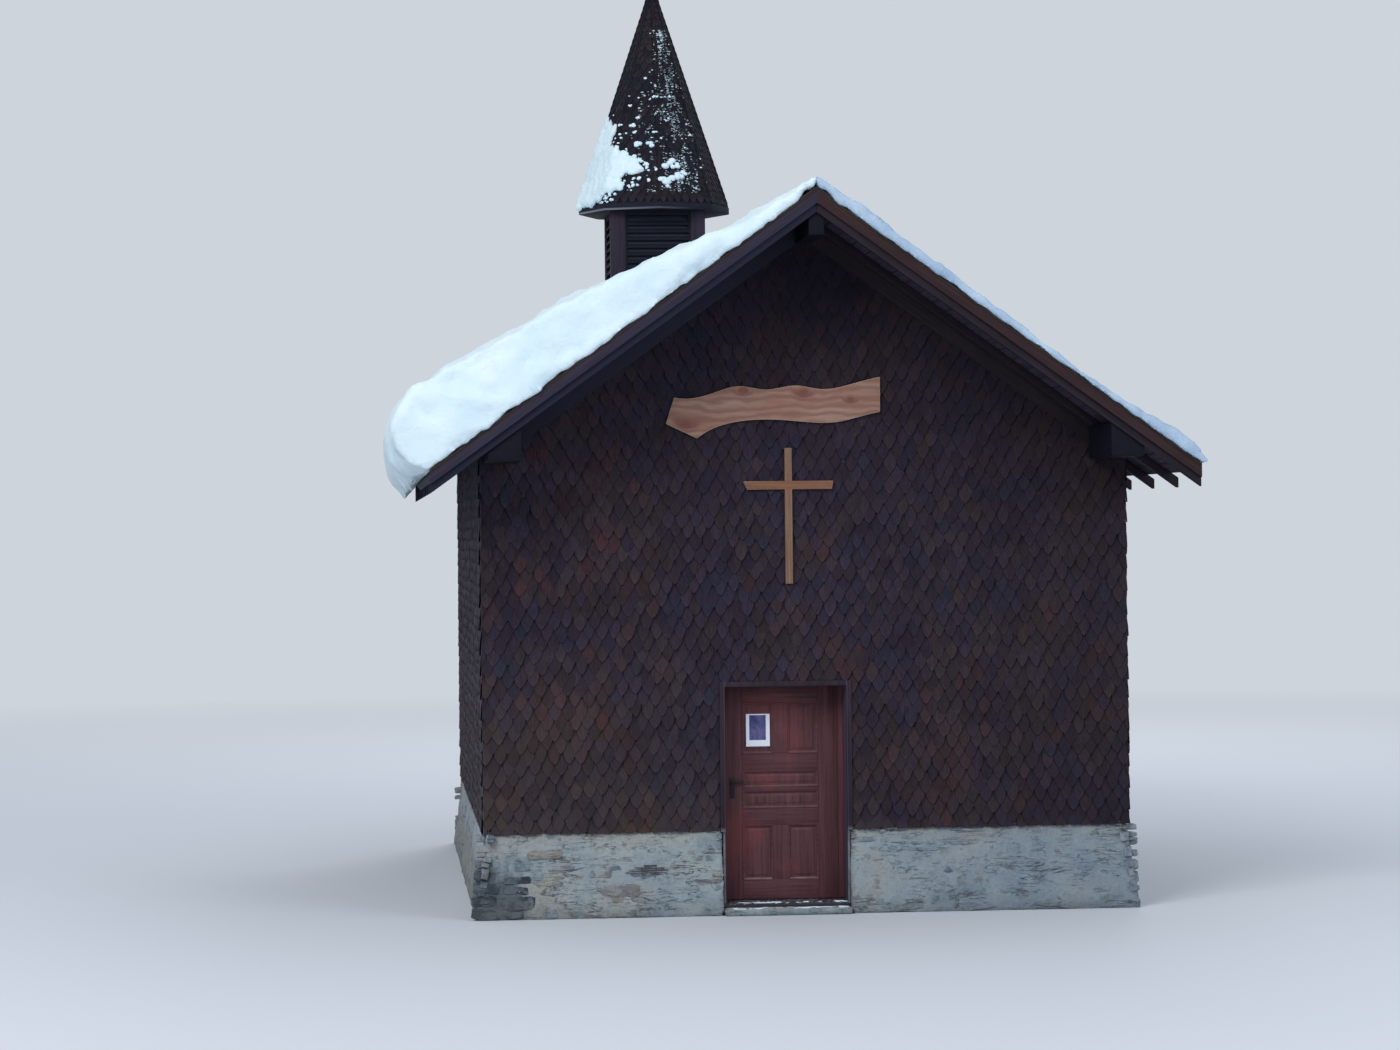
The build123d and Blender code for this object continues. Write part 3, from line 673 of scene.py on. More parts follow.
def stone_material(name, mortar=False):
    """Rubble in lime mortar: grey blue with ochre patches, damp and dark at the lower left corner.
    Thin cracks and painted shadow lines under the stones, and a bluer painted shade towards the right.
    """
    look = Look(name, 0.9, specular=0.2)
    where = look.place
    broad = where.cloud(2.4, 5.0, 0.6)
    fine = where.cloud(26.0, 6.0, 0.7)
    colour = broad.spread(0.3, 0.7).between((142, 156, 164), (176, 182, 180))
    colour = (look.z + broad * 0.3).spread(0.78, 0.95, 0.0, 0.7).between(colour, (166, 164, 148))
    colour = fine.spread(0.42, 0.75, 0.0, 0.35).between(colour, (112, 122, 130))
    if not mortar:
        colour = stone_face(look, colour)
    ochre = where.cloud(1.9, 4.0, 0.6).spread(0.52, 0.7, 0.0, 0.3)
    colour = ochre.between(colour, (166, 150, 122))
    # Thin dark cracks, partly painted shadow under the stones
    crack_and_shadow_lines = where.stretched((2.4, 2.4, 15.0)).cloud(1.0, 6.0, 0.62, 0.5)
    crack_and_shadow_lines = abs(crack_and_shadow_lines - 0.5).spread(0.013, 0.003) * where.cloud(3.6, 3.0).spread(0.5, 0.64, 0.0, 0.7)
    # Painted shadow: thin horizontal dark lines under the ledges of the stones
    ledge = where.stretched((6.0, 6.0, 60.0)).cloud(1.0, 4.0, 0.55, 0.2)
    ledge = abs(ledge - 0.52).spread(0.012, 0.002) * where.cloud(6.5, 3.0).spread(0.48, 0.62, 0.0, 0.36)
    crack_and_shadow_lines = crack_and_shadow_lines.maths("MAXIMUM", ledge)
    colour = crack_and_shadow_lines.between(colour, (58, 58, 60))
    wander = where.cloud(5.0, 5.0, 0.6).spread(0.2, 0.8, -0.2, 0.2)
    across = look.x + wander
    height = look.z + wander
    damp = across.spread(-half_width + 0.46, -half_width + 0.26)
    damp *= look.y.spread(facade_y + 1.6, facade_y + 0.6, 0.3, 1.0)
    damp *= height.spread(0.56, 0.4)
    colour = (damp * (0.78 if mortar else 0.5)).between(colour, (58, 62, 62))
    if mortar:
        beside = across.spread(-half_width + 0.85, -half_width + 0.6) * height.spread(0.5, 0.35)
        pale = beside.maths("SUBTRACT", damp, clamp=True) * 0.6
        colour = pale.between(colour, (168, 162, 144))
    # Painted shade: bluer and darker a little everywhere, most towards the right
    colour = look.x.spread(0.2, 1.2, 0.18, 0.4).between(colour, (72, 94, 122))
    # Paler high on the left side face, near the front
    pale_left_face = height.spread(0.3, 0.62, 0.0, 0.8) * look.y.spread(facade_y + 3.0, facade_y + 0.8, 0.2, 1.0)
    colour = (look.facing()[0].spread(-0.8, -0.95) * pale_left_face).between(colour, (186, 194, 212))
    colour = height.spread(0.2, 0.0, 0.0, 0.35).between(colour, (84, 90, 92))
    return look.done(colour, fine + broad * 1.4 - crack_and_shadow_lines * 0.8, 0.02, 1.0)


def plaster_material():
    """Lime render inside."""
    look = Look("lime_render", 0.92, specular=0.15)
    mottle = look.place.used(weather, Scale=1.2, Runs=0.3)["Mask"]
    colour = mottle.between((196, 190, 178), (214, 210, 200))
    return look.done(colour, look.place.cloud(18.0, 6.0, 0.65), 0.004)


def flag_material():
    """Stone flags in the floor."""
    look = Look("floor_flags", 0.78, specular=0.3)
    laid = put(look.tree, "TexBrick", {
        "Vector": look.place, "Scale": 1.0, "Color1": paint(128, 126, 120), "Color2": paint(104, 104, 102),
        "Mortar": paint(70, 68, 64), "Mortar Size": 0.008, "Brick Width": 0.62, "Row Height": 0.42,
    })
    face, joint = (Value(look.tree, laid.outputs[key]) for key in ("Color", "Fac"))
    mottle = look.place.used(weather, Scale=3.0, Runs=0.0)["Mask"]
    colour = mottle.between(face.shaded(0.5, (0.6, 0.6, 0.6, 1.0)), face)
    return look.done(colour, look.place.cloud(14.0, 5.0) - joint * 1.5, 0.006)


def metal_material(name, colour, rust, metallic):
    """Dark metal with rusty patches."""
    look = Look(name, 0.5, metallic, 0.5)
    spots = look.place.cloud(22.0, 6.0, 0.65).spread(0.5, 0.68, 0.0, 0.8)
    return look.done(spots.between(colour, rust), look.place.cloud(90.0, 4.0, 0.6), 0.0008)


# Knots in the sign board: place along it and up it as shares of its size, and radius
sign_knots = ((0.09, 0.23, 0.10), (0.36, 0.78, 0.07), (0.64, 0.74, 0.085), (0.86, 0.62, 0.06))


def board_sign_material():
    """Waney sign board: warm wood with flowing rings, reddish knots and a pale edge."""
    look = Look("sign_wood", 0.6, specular=0.25)
    where = look.place
    low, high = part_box("sign_board")
    level = look.z * 26.0 + where.stretched((1.6, 1.0, 4.0)).cloud(1.0, 3.0, 0.5) * 7.0
    core = 0.0
    for share_x, share_z, radius in sign_knots:
        centre = (
            low.x + share_x * (high.x - low.x), (low.y + high.y) / 2, low.z + share_z * (high.z - low.z),
        )
        away = where.new("VectorMath", {0: where, 1: centre}, operation="SUBTRACT")
        near = away.stretched((0.62, 0.0, 1.0)).length().spread(radius, 0.0)
        core = near.maths("MAXIMUM", core)
        level += near.maths("POWER", 1.6) * 3.2
    rings = (level * 3.1).maths("SINE") * 0.5 + 0.5
    colour = (rings * 0.75).between((154, 123, 108), (118, 86, 77))
    heart = where.stretched((1.3, 1.0, 5.0)).cloud(1.0, 4.0, 0.6).spread(0.42, 0.66, 0.0, 0.55)
    colour = heart.between(colour, (128, 82, 70))
    colour = core.spread(0.05, 0.75, 0.0, 0.85).between(colour, (108, 62, 56))
    fine = where.stretched((5.0, 20.0, 120.0)).cloud(1.0, 5.0, 0.65)
    colour = fine.spread(0.48, 0.75, 0.0, 0.5).between(colour, (112, 78, 62))
    edge = look.facing()[1].spread(-0.97, -0.75)
    return look.done((edge * 0.7).between(colour, (196, 172, 148)), rings + fine, 0.0015)


def notice_material():
    """A white sheet with a plain blue field of soft cloudy shapes."""
    look = Look("notice_paper", 0.6, specular=0.3)
    low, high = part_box("door_notice")
    field = look.x.maths("GREATER_THAN", low.x + 0.03) * look.x.maths("LESS_THAN", high.x - 0.036)
    field *= look.z.maths("GREATER_THAN", low.z + 0.058) * look.z.maths("LESS_THAN", high.z - 0.011)
    clouds = look.place.stretched((14.0, 14.0, 9.0)).cloud(1.0, 2.0, 0.5, 0.8)
    blue = clouds.spread(0.35, 0.68).between((48, 52, 98), (92, 92, 138))
    return look.done(field.between((216, 222, 234), blue), look.place.cloud(9.0, 3.0), 0.002)


wall_shingle = shingle_material(
    "wall_shingle",
    ((38, 41, 56), (42, 39, 55), (49, 40, 53), (52, 44, 48), (60, 42, 47), (70, 46, 47)),
    depth=0.004, frost=0.06, gap=shingle_pitch, course=shingle_course, painted_shade_and_tone=0.6,
)
spire_shingle = shingle_material(
    "spire_shingle",
    ((25, 29, 39), (31, 32, 42), (37, 33, 40), (47, 39, 44)),
    depth=0.003, frost=0.12, gap=spire_shingle_width, course=spire_shingle_course, moss=0.2,
)
snow = snow_material("settled_snow", (208, 230, 242), (222, 239, 247))
# The right slope's snow in a darker, bluer painted shade
painted_shade_snow = snow_material("painted_shade_snow", (146, 170, 196), (180, 201, 222))
rime_crust = rime_material()
rubble = stone_material("rubble_stone")
mortar = stone_material("rubble_mortar", mortar=True)
plaster = plaster_material()
flags = flag_material()
iron = metal_material("black_iron", (34, 34, 38), (58, 40, 34), 0.6)
sheet = metal_material("sheet_metal", (48, 46, 48), (70, 52, 46), 0.7)
barge = timber("barge_timber", (36, 24, 27), (66, 47, 48), (2.0, 40.0, 46.0), place=slope_place, runs=0.1,
               shaded=(54, 52, 74), wear_and_painted_light=verge_painted_light)
roof_wood = timber("roof_timber", (24, 21, 29), (52, 42, 50), (2.0, 40.0, 40.0), place=slope_place, runs=0.1,
                   wear_and_painted_light=rafter_painted_light)
# Beams in a dark blue painted shade, as they all lie under the roof
beam_wood = timber("beam_timber", (9, 9, 20), (22, 21, 36), (40.0, 2.0, 40.0), runs=0.1)
soffit = timber("soffit_board", (40, 37, 50), (84, 78, 96), (38.0, 2.0, 38.0), runs=0.1)
roof_cover = timber("roof_shingle", (34, 28, 28), (66, 54, 50), (2.0, 40.0, 40.0), place=slope_place)
frame_wood = timber("frame_wood", (32, 27, 35), (61, 51, 64), (40.0, 40.0, 2.0), wear_and_painted_light=frame_painted_light_and_tones)
sill_wood = timber("sill_wood", (40, 34, 42), (78, 70, 80), (2.0, 40.0, 40.0), frost=0.5)
cross_wood = timber("cross_wood", (86, 64, 56), (152, 124, 102), (60.0, 60.0, 2.2), roughness=0.6,
                    tint=(134, 88, 74), runs=0.0)
cross_bar_wood = timber("cross_bar_wood", (88, 62, 50), (150, 112, 88), (2.2, 60.0, 60.0), roughness=0.6,
                        tint=(138, 90, 70), runs=0.0)
turret_board = timber("turret_board", (36, 31, 44), (62, 53, 70), (40.0, 40.0, 2.0))
louvre_wood = timber("louvre_board", (17, 19, 28), (30, 33, 45), (2.5, 2.5, 40.0), frost=0.15,
                     wear_and_painted_light=louvre_painted_light)
fascia_wood = timber("fascia_board", (16, 18, 28), (36, 39, 54), (3.0, 3.0, 40.0), frost=0.1, wear_and_painted_light=eave_tones)
door_finish = dict(dark=(62, 38, 45), light=(114, 75, 81), bump=0.0012, roughness=0.62, frost=0.3,
                   tint=(110, 60, 61), wear_and_painted_light=door_wear)
door_up = timber("door_wood_upright", stretch=(44.0, 44.0, 1.6), runs=0.7, **door_finish)
door_across = timber("door_wood_across", stretch=(1.6, 44.0, 44.0), **door_finish)
sign_wood = board_sign_material()
paper = notice_material()
stone_step = stone_material("floor_stone", mortar=True)


# Wall shingles

upright_turn = (math.radians(90), 0, 0)


def model_shingle(width, length, butt, head):
    """One shingle, hung from its tip at the origin up to its length, its face to -Y."""
    obj = added("plane", (width, length, 1), size=1, rotation=upright_turn)
    edit(obj)
    bpy.ops.transform.translate(value=(0, 0, length / 2))
    select_where(obj, lambda vertex: vertex.co.z < length / 2)
    bpy.ops.mesh.bevel(offset=width * 0.48, segments=3, affect="VERTICES", profile=0.34)
    select_where(obj, lambda vertex: vertex.co.z < width * 0.55)
    bpy.ops.transform.resize(value=(1, 1, 1.6), center_override=(0, 0, 0))
    bpy.ops.mesh.select_all(action="SELECT")
    bpy.ops.mesh.extrude_region_move(TRANSFORM_OT_translate={"value": (0, -butt, 0)})
    select_where(obj, lambda vertex: vertex.co.z > length - 0.001 and vertex.co.y < -butt / 2)
    bpy.ops.transform.translate(value=(0, butt - head, 0))
    bpy.ops.mesh.select_all(action="SELECT")
    bpy.ops.mesh.normals_make_consistent(inside=False)
    close_edit()
    obj.name = "shingle_pattern"
    return obj


def shingle_field(rng, start, end, foot, top, allowed):
    """Places on a wall, as distance along and height of each tip, in courses that break joint."""
    spots = []
    course = 0
    height = foot
    while height < top:
        offset = shingle_pitch / 2 * (course % 2)
        count = int((end - start) / shingle_pitch) + 2
        for n in range(count):
            along = start + offset + (n - 0.25) * shingle_pitch
            drift_x, drift_z, loose = noise.noise_vector(Vector((along, height, start)) * 0.9)
            loose = 0.007 + 0.006 * max(loose, 0.0)
            along += 0.03 * drift_x + rng.gauss(0, loose)
            spot = (along, height + 0.02 * drift_z + rng.gauss(0, loose * 1.3))
            if allowed is None or allowed(*spot):
                spots.append(spot)
        height += shingle_course
        course += 1
    return spots


def hang(rng, spots, along, outward, origin):
    """Matrices and varieties for shingles on a wall that runs along one direction."""
    places = []
    varieties = []
    along = Vector(along)
    outward = Vector(outward)
    for distance, height in spots:
        lean = rng.gauss(0.02, 0.045)
        upward = Vector((0, 0, 1)) + along * lean - outward * (0.05 + rng.uniform(-0.012, 0.025))
        upward.normalize()
        across = (along - upward * along.dot(upward)).normalized()
        back = -(across.cross(upward))
        if back.dot(outward) > 0:
            back = -back
        lift = outward * (0.008 + rng.uniform(0, 0.004))
        where = Vector(origin) + along * distance + Vector((0, 0, height)) + lift
        grown = rng.uniform(0.86, 1.06)
        thick = rng.uniform(0.6, 1.4)
        places.append(axes(across * grown, back * thick, upward * rng.uniform(0.94, 1.04), where))
        kind = min(max(rng.gauss(0.4, 0.22), 0.0), 1.0)
        varieties.append((rng.random(), kind, rng.uniform(0, 40)))
    return places, varieties


def wall_shingles():
    """The shingle coats of the four walls."""
    pattern = model_shingle(shingle_width, shingle_length, shingle_butt, shingle_head)
    rng = random.Random(11)
    edge = half_width + 0.006
    foot = plinth_top - 0.095
    hem = plinth_top - 0.012
    wall_head = roof_z(half_width, 0.172)

    def under_roof(x, z):
        return abs(x) < edge + 0.03 and z < roof_z(x, 0.05) - 0.1

    def front_allowed(x, z):
        in_doorway = doorway_left < x < doorway_right and z + shingle_course < doorway_head
        return under_roof(x, z) and not in_doorway

    def trim_gable(points):
        points[:, 2] = np.maximum(points[:, 2], hem)
        points[:, 0] = np.clip(points[:, 0], -edge, edge)
        limit = ridge_z - np.abs(points[:, 0]) * slope - 0.06 * plumb
        points[:, 2] = np.minimum(points[:, 2], limit)
        return points

    def trim_front(points):
        points = trim_gable(points)
        inside = (points[:, 0] > doorway_left) & (points[:, 0] < doorway_right)
        over = inside & (points[:, 2] > doorway_head - shingle_course - 0.06)
        points[over, 2] = np.maximum(points[over, 2], doorway_head)
        beside = inside & (points[:, 2] < doorway_head)
        points[beside & (points[:, 0] < doorway_middle), 0] = doorway_left
        points[beside & (points[:, 0] >= doorway_middle), 0] = doorway_right
        return points

    def trim_side(points):
        points[:, 1] = np.clip(points[:, 1], facade_y - 0.006, rear_y + 0.006)
        points[:, 2] = np.clip(points[:, 2], hem, wall_head)
        return points

    across = (-half_width, half_width, ridge_z)
    back = (facade_y, rear_y, wall_head - 0.05)
    for name, along, outward, origin, (start, end, top), allowed, trim in (
        ("front_shingles", (1, 0, 0), (0, -1, 0), (0, facade_y, 0), across, front_allowed, trim_front),
        ("rear_shingles", (-1, 0, 0), (0, 1, 0), (0, rear_y, 0), across, under_roof, trim_gable),
        ("left_shingles", (0, -1, 0), (-1, 0, 0), (-half_width, 0, 0), back, None, trim_side),
        ("right_shingles", (0, 1, 0), (1, 0, 0), (half_width, 0, 0), back, None, trim_side),
    ):
        spots = shingle_field(rng, start, end, foot, top, allowed)
        places, varieties = hang(rng, spots, along, outward, origin)
        finish(lay(name, pattern, places, varieties, trim), wall_shingle)
    discard(pattern)


# Rubble plinth

stone_depth = 0.07
course_heights = (0.05, 0.065, 0.08, 0.095, 0.12)
layer_foot = 0.352
layer_pitch = 0.022
layer_height = 0.015


def model_stone():
    """A flat rough stone one unit each way, its face to -Y."""
    obj = added("cube", size=1)
    edit(obj)
    bpy.ops.mesh.subdivide(number_cuts=1)
    bpy.ops.mesh.select_all(action="SELECT")
    bpy.ops.mesh.bevel(offset=0.12, segments=1)
    close_edit()
    obj.name = "stone_pattern"
    return obj


def plinth_runs():
    """Each face of the plinth: name, direction along, outward, centre at the foot, half length."""
    foot_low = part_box("plinth_front_left")[0]
    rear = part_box("plinth_rear")[1]
    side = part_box("plinth_right")[1].x
    left_run = (doorway_left - foot_low.x) / 2
    right_run = (side - doorway_right) / 2
    middle = (foot_low.y + rear.y) / 2
    half_side = (rear.y - foot_low.y) / 2
    return (
        ("plinth_front_left", (1, 0, 0), (0, -1, 0), (foot_low.x + left_run, foot_low.y), left_run),
        ("plinth_front_right", (1, 0, 0), (0, -1, 0), (doorway_right + right_run, foot_low.y), right_run),
        ("plinth_left", (0, -1, 0), (-1, 0, 0), (foot_low.x, middle), half_side),
        ("plinth_right", (0, 1, 0), (1, 0, 0), (side, middle), half_side),
        ("plinth_rear", (-1, 0, 0), (0, 1, 0), (0, rear.y), side),
    )


def stones_on(rng, along, outward, centre, half_run, batter):
    """Matrices and varieties for stones in rough courses up a battered face."""
    places = []
    varieties = []
    along = Vector(along)
    outward = Vector(outward)
    height = 0.0
    upright = (Vector((0, 0, plinth_top)) - outward * batter).normalized()
    face = along.cross(upright)
    face = face if face.dot(outward) > 0 else -face
    base = Vector((centre[0], centre[1], 0))
    while height < plinth_top - 0.05:
        course = min(rng.choice(course_heights), plinth_top - height)
        distance = -half_run + 0.01
        inset = batter * (height + course / 2) / plinth_top
        while distance < half_run - 0.05:
            length = min(rng.uniform(0.1, 0.42), half_run - distance)
            if half_run - distance - length < 0.07:
                length = half_run - distance
            at_corner = half_run - abs(distance + length / 2)
            if at_corner > inset * 0.6 and rng.random() < 0.84:
                tall = course - rng.uniform(0.012, 0.03)
                wide = length - rng.uniform(0.014, 0.035)
                middle = base + along * (distance + length / 2) + Vector((0, 0, height + course / 2))
                middle -= outward * (inset + stone_depth / 2 - rng.uniform(-0.014, 0.006))
                middle += upright * rng.uniform(-0.012, 0.012)
                turn = rng.gauss(0, 0.05)
                across = (along + upright * turn).normalized()
                up = (upright - along * turn).normalized()
                places.append(axes(across * wide, -face * stone_depth, up * tall, middle))
                varieties.append((rng.random(), rng.uniform(0, 0.72), rng.uniform(0, 40)))
            distance += length
        height += course
    return places, varieties


# Stones of the front that stand out, as left, right, foot and head. The blocks add how far each stands
# proud, its kind and its turn. The lens of thin layers has left and right only.
ochre_blocks = (
    (-2.58, -2.27, 0.54, 0.62, 0.011, 0.8, 0.0), (-1.91, -1.55, 0.18, 0.3, 0.009, 0.88, 0.0),
    (-2.03, -1.82, 0.36, 0.43, 0.008, 0.88, 0.0), (-1.08, -0.83, 0.3, 0.33, 0.01, 0.88, 0.05),
    (-0.9, -0.8, 0.355, 0.385, 0.014, 0.82, 0.0),
)
thin_layers = ((-1.56, -1.4), (-1.64, -1.34), (-1.69, -1.31), (-1.66, -1.3), (-1.6, -1.33), (-1.52, -1.4))
dark_quoins = (
    (-3.1, -2.84, 0.005, 0.105), (-3.09, -2.87, 0.125, 0.215), (-3.08, -2.84, 0.235, 0.34),
    (-3.07, -2.88, 0.36, 0.45), (-2.8, -2.56, 0.32, 0.385), (-2.8, -2.57, 0.225, 0.3),
    (-2.79, -2.52, 0.085, 0.205), (-3.06, -2.9, 0.47, 0.54), (-2.78, -2.62, 0.01, 0.07),
)


def marked_stones(rng, batter):
    """The stones of the front that stand out: ochre blocks, a lens of thin layers, dark quoins."""
    places = []
    varieties = []
    foot_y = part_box("plinth_front_left")[0].y

    def add(x0, x1, z0, z1, proud, kind, turn):
        middle_z = (z0 + z1) / 2
        y = foot_y + batter * middle_z / plinth_top - proud + stone_depth / 2
        upright = Vector((math.sin(turn), batter / plinth_top, math.cos(turn))).normalized()
        across = Vector((math.cos(turn), 0, -math.sin(turn)))
        middle = Vector(((x0 + x1) / 2, y, middle_z))
        places.append(axes(across * (x1 - x0), Vector((0, stone_depth, 0)), upright * (z1 - z0), middle))
        varieties.append((rng.random(), kind, rng.uniform(0, 40)))

    for block in ochre_blocks:
        add(*block)
    for n, (x0, x1) in enumerate(thin_layers):
        low = layer_foot + n * layer_pitch
        add(x0, x1, low, low + layer_height, rng.uniform(0.006, 0.014), 0.95, rng.uniform(-0.03, 0.03))
    for quoin in dark_quoins:
        add(*quoin, rng.uniform(0.008, 0.014), 1.0, rng.uniform(-0.04, 0.06))
    return places, varieties


def shape_stones(points):
    """Roughens stones that have been laid, so that no two are alike."""
    for index, point in enumerate(points):
        shift = noise.noise_vector(Vector(point) * 9.0) * 0.014
        points[index] = point + np.array(shift)
    return points


def plinth():
    """Mortared rubble: a lumpy bed for each piece of the plinth, and stones that stand a little proud."""
    pattern = model_stone()
    rng = random.Random(5)
    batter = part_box("plinth_right")[1].x - (half_width - 0.015)
    for name, along, outward, centre, half_run in plinth_runs():
        bed = copy_of(name, name + "_bed")
        apply_modifier(bed, "REMESH", mode="VOXEL", voxel_size=0.034)
        roughen(bed, 0.22, 0.014, seed=3.0)
        roughen(bed, 0.06, 0.006, seed=7.0)
        for vertex in bed.data.vertices:
            vertex.co.z = max(vertex.co.z, 0.0)
            if doorway_left - 0.1 < vertex.co.x < doorway_right + 0.1 and vertex.co.y < 0:
                on_left = vertex.co.x < doorway_middle
                vertex.co.x = min(vertex.co.x, doorway_left) if on_left else max(vertex.co.x, doorway_right)
        apply_modifier(bed, "DECIMATE", ratio=0.6)
        finish(settle(bed, name + "_bed", rounded), mortar, replaced=(name,))
        places, varieties = stones_on(rng, along, outward, centre, half_run, batter)
        if name == "plinth_front_left":
            special = marked_stones(rng, batter)
            places += special[0]
            varieties += special[1]
        stones = lay(name + "_stones", pattern, places, varieties, shape_stones)
        for vertex in stones.data.vertices:
            vertex.co.z = max(vertex.co.z, 0.0)
        finish(stones, rubble)
    discard(pattern)


# Roof

deck_board_width = 0.152
deck_thickness = 0.072


def roof_boards():
    """Deck boards, seen from below at the eaves and verges."""
    outer = (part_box("roof_covering_left")[1].z - roof_z(0, 0.025)) / plumb
    count = round(eave_x * plumb / deck_board_width)
    width = eave_x * plumb / count
    board_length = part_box("roof_deck_left")[1].y
    pattern = box_piece(
        "deck_pattern", (0.002, -board_length, -deck_thickness), (width - 0.003, board_length, 0), 0.003, 1
    )
    rng = random.Random(2)
    for side, name in ((-1, "roof_deck_left"), (1, "roof_deck_right")):
        along = Vector((side * math.cos(pitch), 0, -math.sin(pitch)))
        outward = Vector((side * math.sin(pitch), 0, math.cos(pitch)))
        places = []
        varieties = []
        for n in range(count):
            origin = Vector((0, 0, ridge_z)) + along * (n * width) - outward * (outer + rng.uniform(0, 0.001))
            places.append(axes(along, Vector((0, side, 0)), outward, origin))
            varieties.append((rng.random(), rng.random(), rng.uniform(0, 40)))
        finish(lay(name + "_boards", pattern, places, varieties), soffit, replaced=(name,))
    discard(pattern)


def roof_pieces():
    """Timbers and edges of the roof, with their arrises eased."""
    roof_boards()
    for node, bevel, material, slot in (
        ("ridge_beam", 0.006, beam_wood, "roof_timber"),
        ("eave_purlin_left", 0.008, beam_wood, "roof_timber"),
        ("eave_purlin_right", 0.008, beam_wood, "roof_timber"),
        ("rafters_left", 0.005, roof_wood, "roof_timber"),
        ("rafters_right", 0.005, roof_wood, "roof_timber"),
        ("gable_friezes", 0.004, roof_wood, "roof_timber"),
        ("roof_covering_left", 0.003, roof_cover, "roof_shingle"),
        ("roof_covering_right", 0.003, roof_cover, "roof_shingle"),
        ("front_bargeboard", 0.005, barge, "barge_timber"),
        ("rear_bargeboard", 0.005, barge, "barge_timber"),
        ("ridge_cap", 0.003, sheet, "sheet_metal"),
    ):
        eased(node, node + "_wood", bevel, material)


# Snow


def drift(node, name, voxel, rounding, broad, fine):
    """Snow from a construction solid: remeshed, rounded and made uneven, less so along the roof's edge."""
    obj = copy_of(node, name)
    apply_modifier(obj, "REMESH", mode="VOXEL", voxel_size=voxel)
    apply_modifier(obj, "SMOOTH", factor=0.5, iterations=rounding)
    roughen(obj, 0.9, broad, seed=1.5, test=lambda point: point.z > roof_z(point.x) + 0.1)
    roughen(obj, 0.16, fine, seed=9.0)
    return obj


def crest(obj):
    """Heaps the snow a little along the ridge, so that it runs over it in a soft curve."""
    for vertex in obj.data.vertices:
        x, _, z = vertex.co
        near = share_of(abs(x), 0.6325, 0.0825)
        above = share_of(z, roof_z(x), roof_z(x) + 0.04)
        vertex.co.z += 0.034 * near * near * (3 - 2 * near) * above
    obj.data.update()


def droop(obj):
    """Lets the drift's nose hang lower past the eave toward the back, in lumps."""
    for vertex in obj.data.vertices:
        x, y, z = vertex.co
        past = share_of(-x, eave_x + 0.02, eave_x + 0.14)
        behind = share_of(y, 0.5 - verge_y, 1.9 - verge_y)
        low = share_of(z, roof_z(x) + 0.55, roof_z(x) + 0.05)
        lump = 0.6 + 0.8 * noise.noise(Vector((0.0, y * 1.1, 4.0)))
        vertex.co.z -= 0.26 * past * behind * low * lump
    obj.data.update()


def keep_off_roof(obj, clearance):
    """Keeps a snow mesh from showing under the roof covering."""
    for vertex in obj.data.vertices:
        x = vertex.co.x
        if abs(x) < eave_x and abs(vertex.co.y) < verge_y:
            vertex.co.z = max(vertex.co.z, roof_z(x) - clearance)
    obj.data.update()


def roof_snow():
    """The drift on the left slope and the thin layer on the right."""
    for node, name, voxel, rounding, broad, fine, kept, material in (
        ("roof_snow_left", "left_roof_drift", 0.042, 4, 0.06, 0.026, 0.55, snow),
        ("roof_snow_right", "right_roof_layer", 0.028, 1, 0.03, 0.016, 0.4, painted_shade_snow),
    ):
        obj = drift(node, name, voxel, rounding, broad, fine)
        keep_off_roof(obj, 0.012)
        crest(obj)
        if node == "roof_snow_left":
            droop(obj)
        apply_modifier(obj, "DECIMATE", ratio=kept)
        finish(settle(obj, name, rounded), material, replaced=(node,))


def spire_point(azimuth, height, lift=0.0):
    """A point on the spire at an azimuth in degrees, a height over its foot and a distance off it."""
    angle = math.radians(azimuth)
    flat = spire_radius * (1 - height / spire_height) * math.cos(spire_half_side)
    reach = flat / math.cos(angle % (2 * spire_half_side) - spire_half_side) + lift
    return Vector((turret_x + reach * math.cos(angle), reach * math.sin(angle), spire_foot + height))


def model_blob(name, subdivisions=2):
    """A flattened lump of snow, one unit across."""
    obj = added("ico_sphere", subdivisions=subdivisions, radius=0.5)
    edit(obj)
    bpy.ops.transform.resize(value=(1.0, 0.8, 0.7))
    close_edit()
    obj.name = name
    return obj


def lump_at(point, size, shape=(1.0, 1.0, 1.0), turn=0.0):
    """A matrix for a lump: its place, size, proportions and turn about the vertical."""
    grown = Matrix.Diagonal((*(size * part for part in shape), 1))
    return Matrix.Translation(point) @ Matrix.Rotation(turn, 4, "Z") @ grown


# Lumps that make up the patch on the spire, small flecks beside it, and the azimuths between which each
# lies: the patch's, then those of the left and of all the front faces that hold flecks
patch_lumps = 900
fleck_count = 1100
patch_side = (118, 285)
left_faces = (228, 270)
fleck_faces = (226, 317)
# Lumps and flecks sit this far off the spire's shell, among its shingles
lump_lift = 0.012
lone_lift = 0.01
fleck_lift = 0.014

# Right-hand limit of the snow patch on the spire: height over its foot, distance across from its axis
patch_edge = (
    (0.0, -0.56), (0.08, -0.5), (0.15, -0.3), (0.19, -0.26), (0.24, -0.46), (0.28, -0.3), (0.32, -0.12),
    (0.38, -0.12), (0.44, -0.18), (0.5, -0.24), (0.56, -0.38), (0.7, -0.38), (0.82, -0.34), (0.93, -0.42),
)
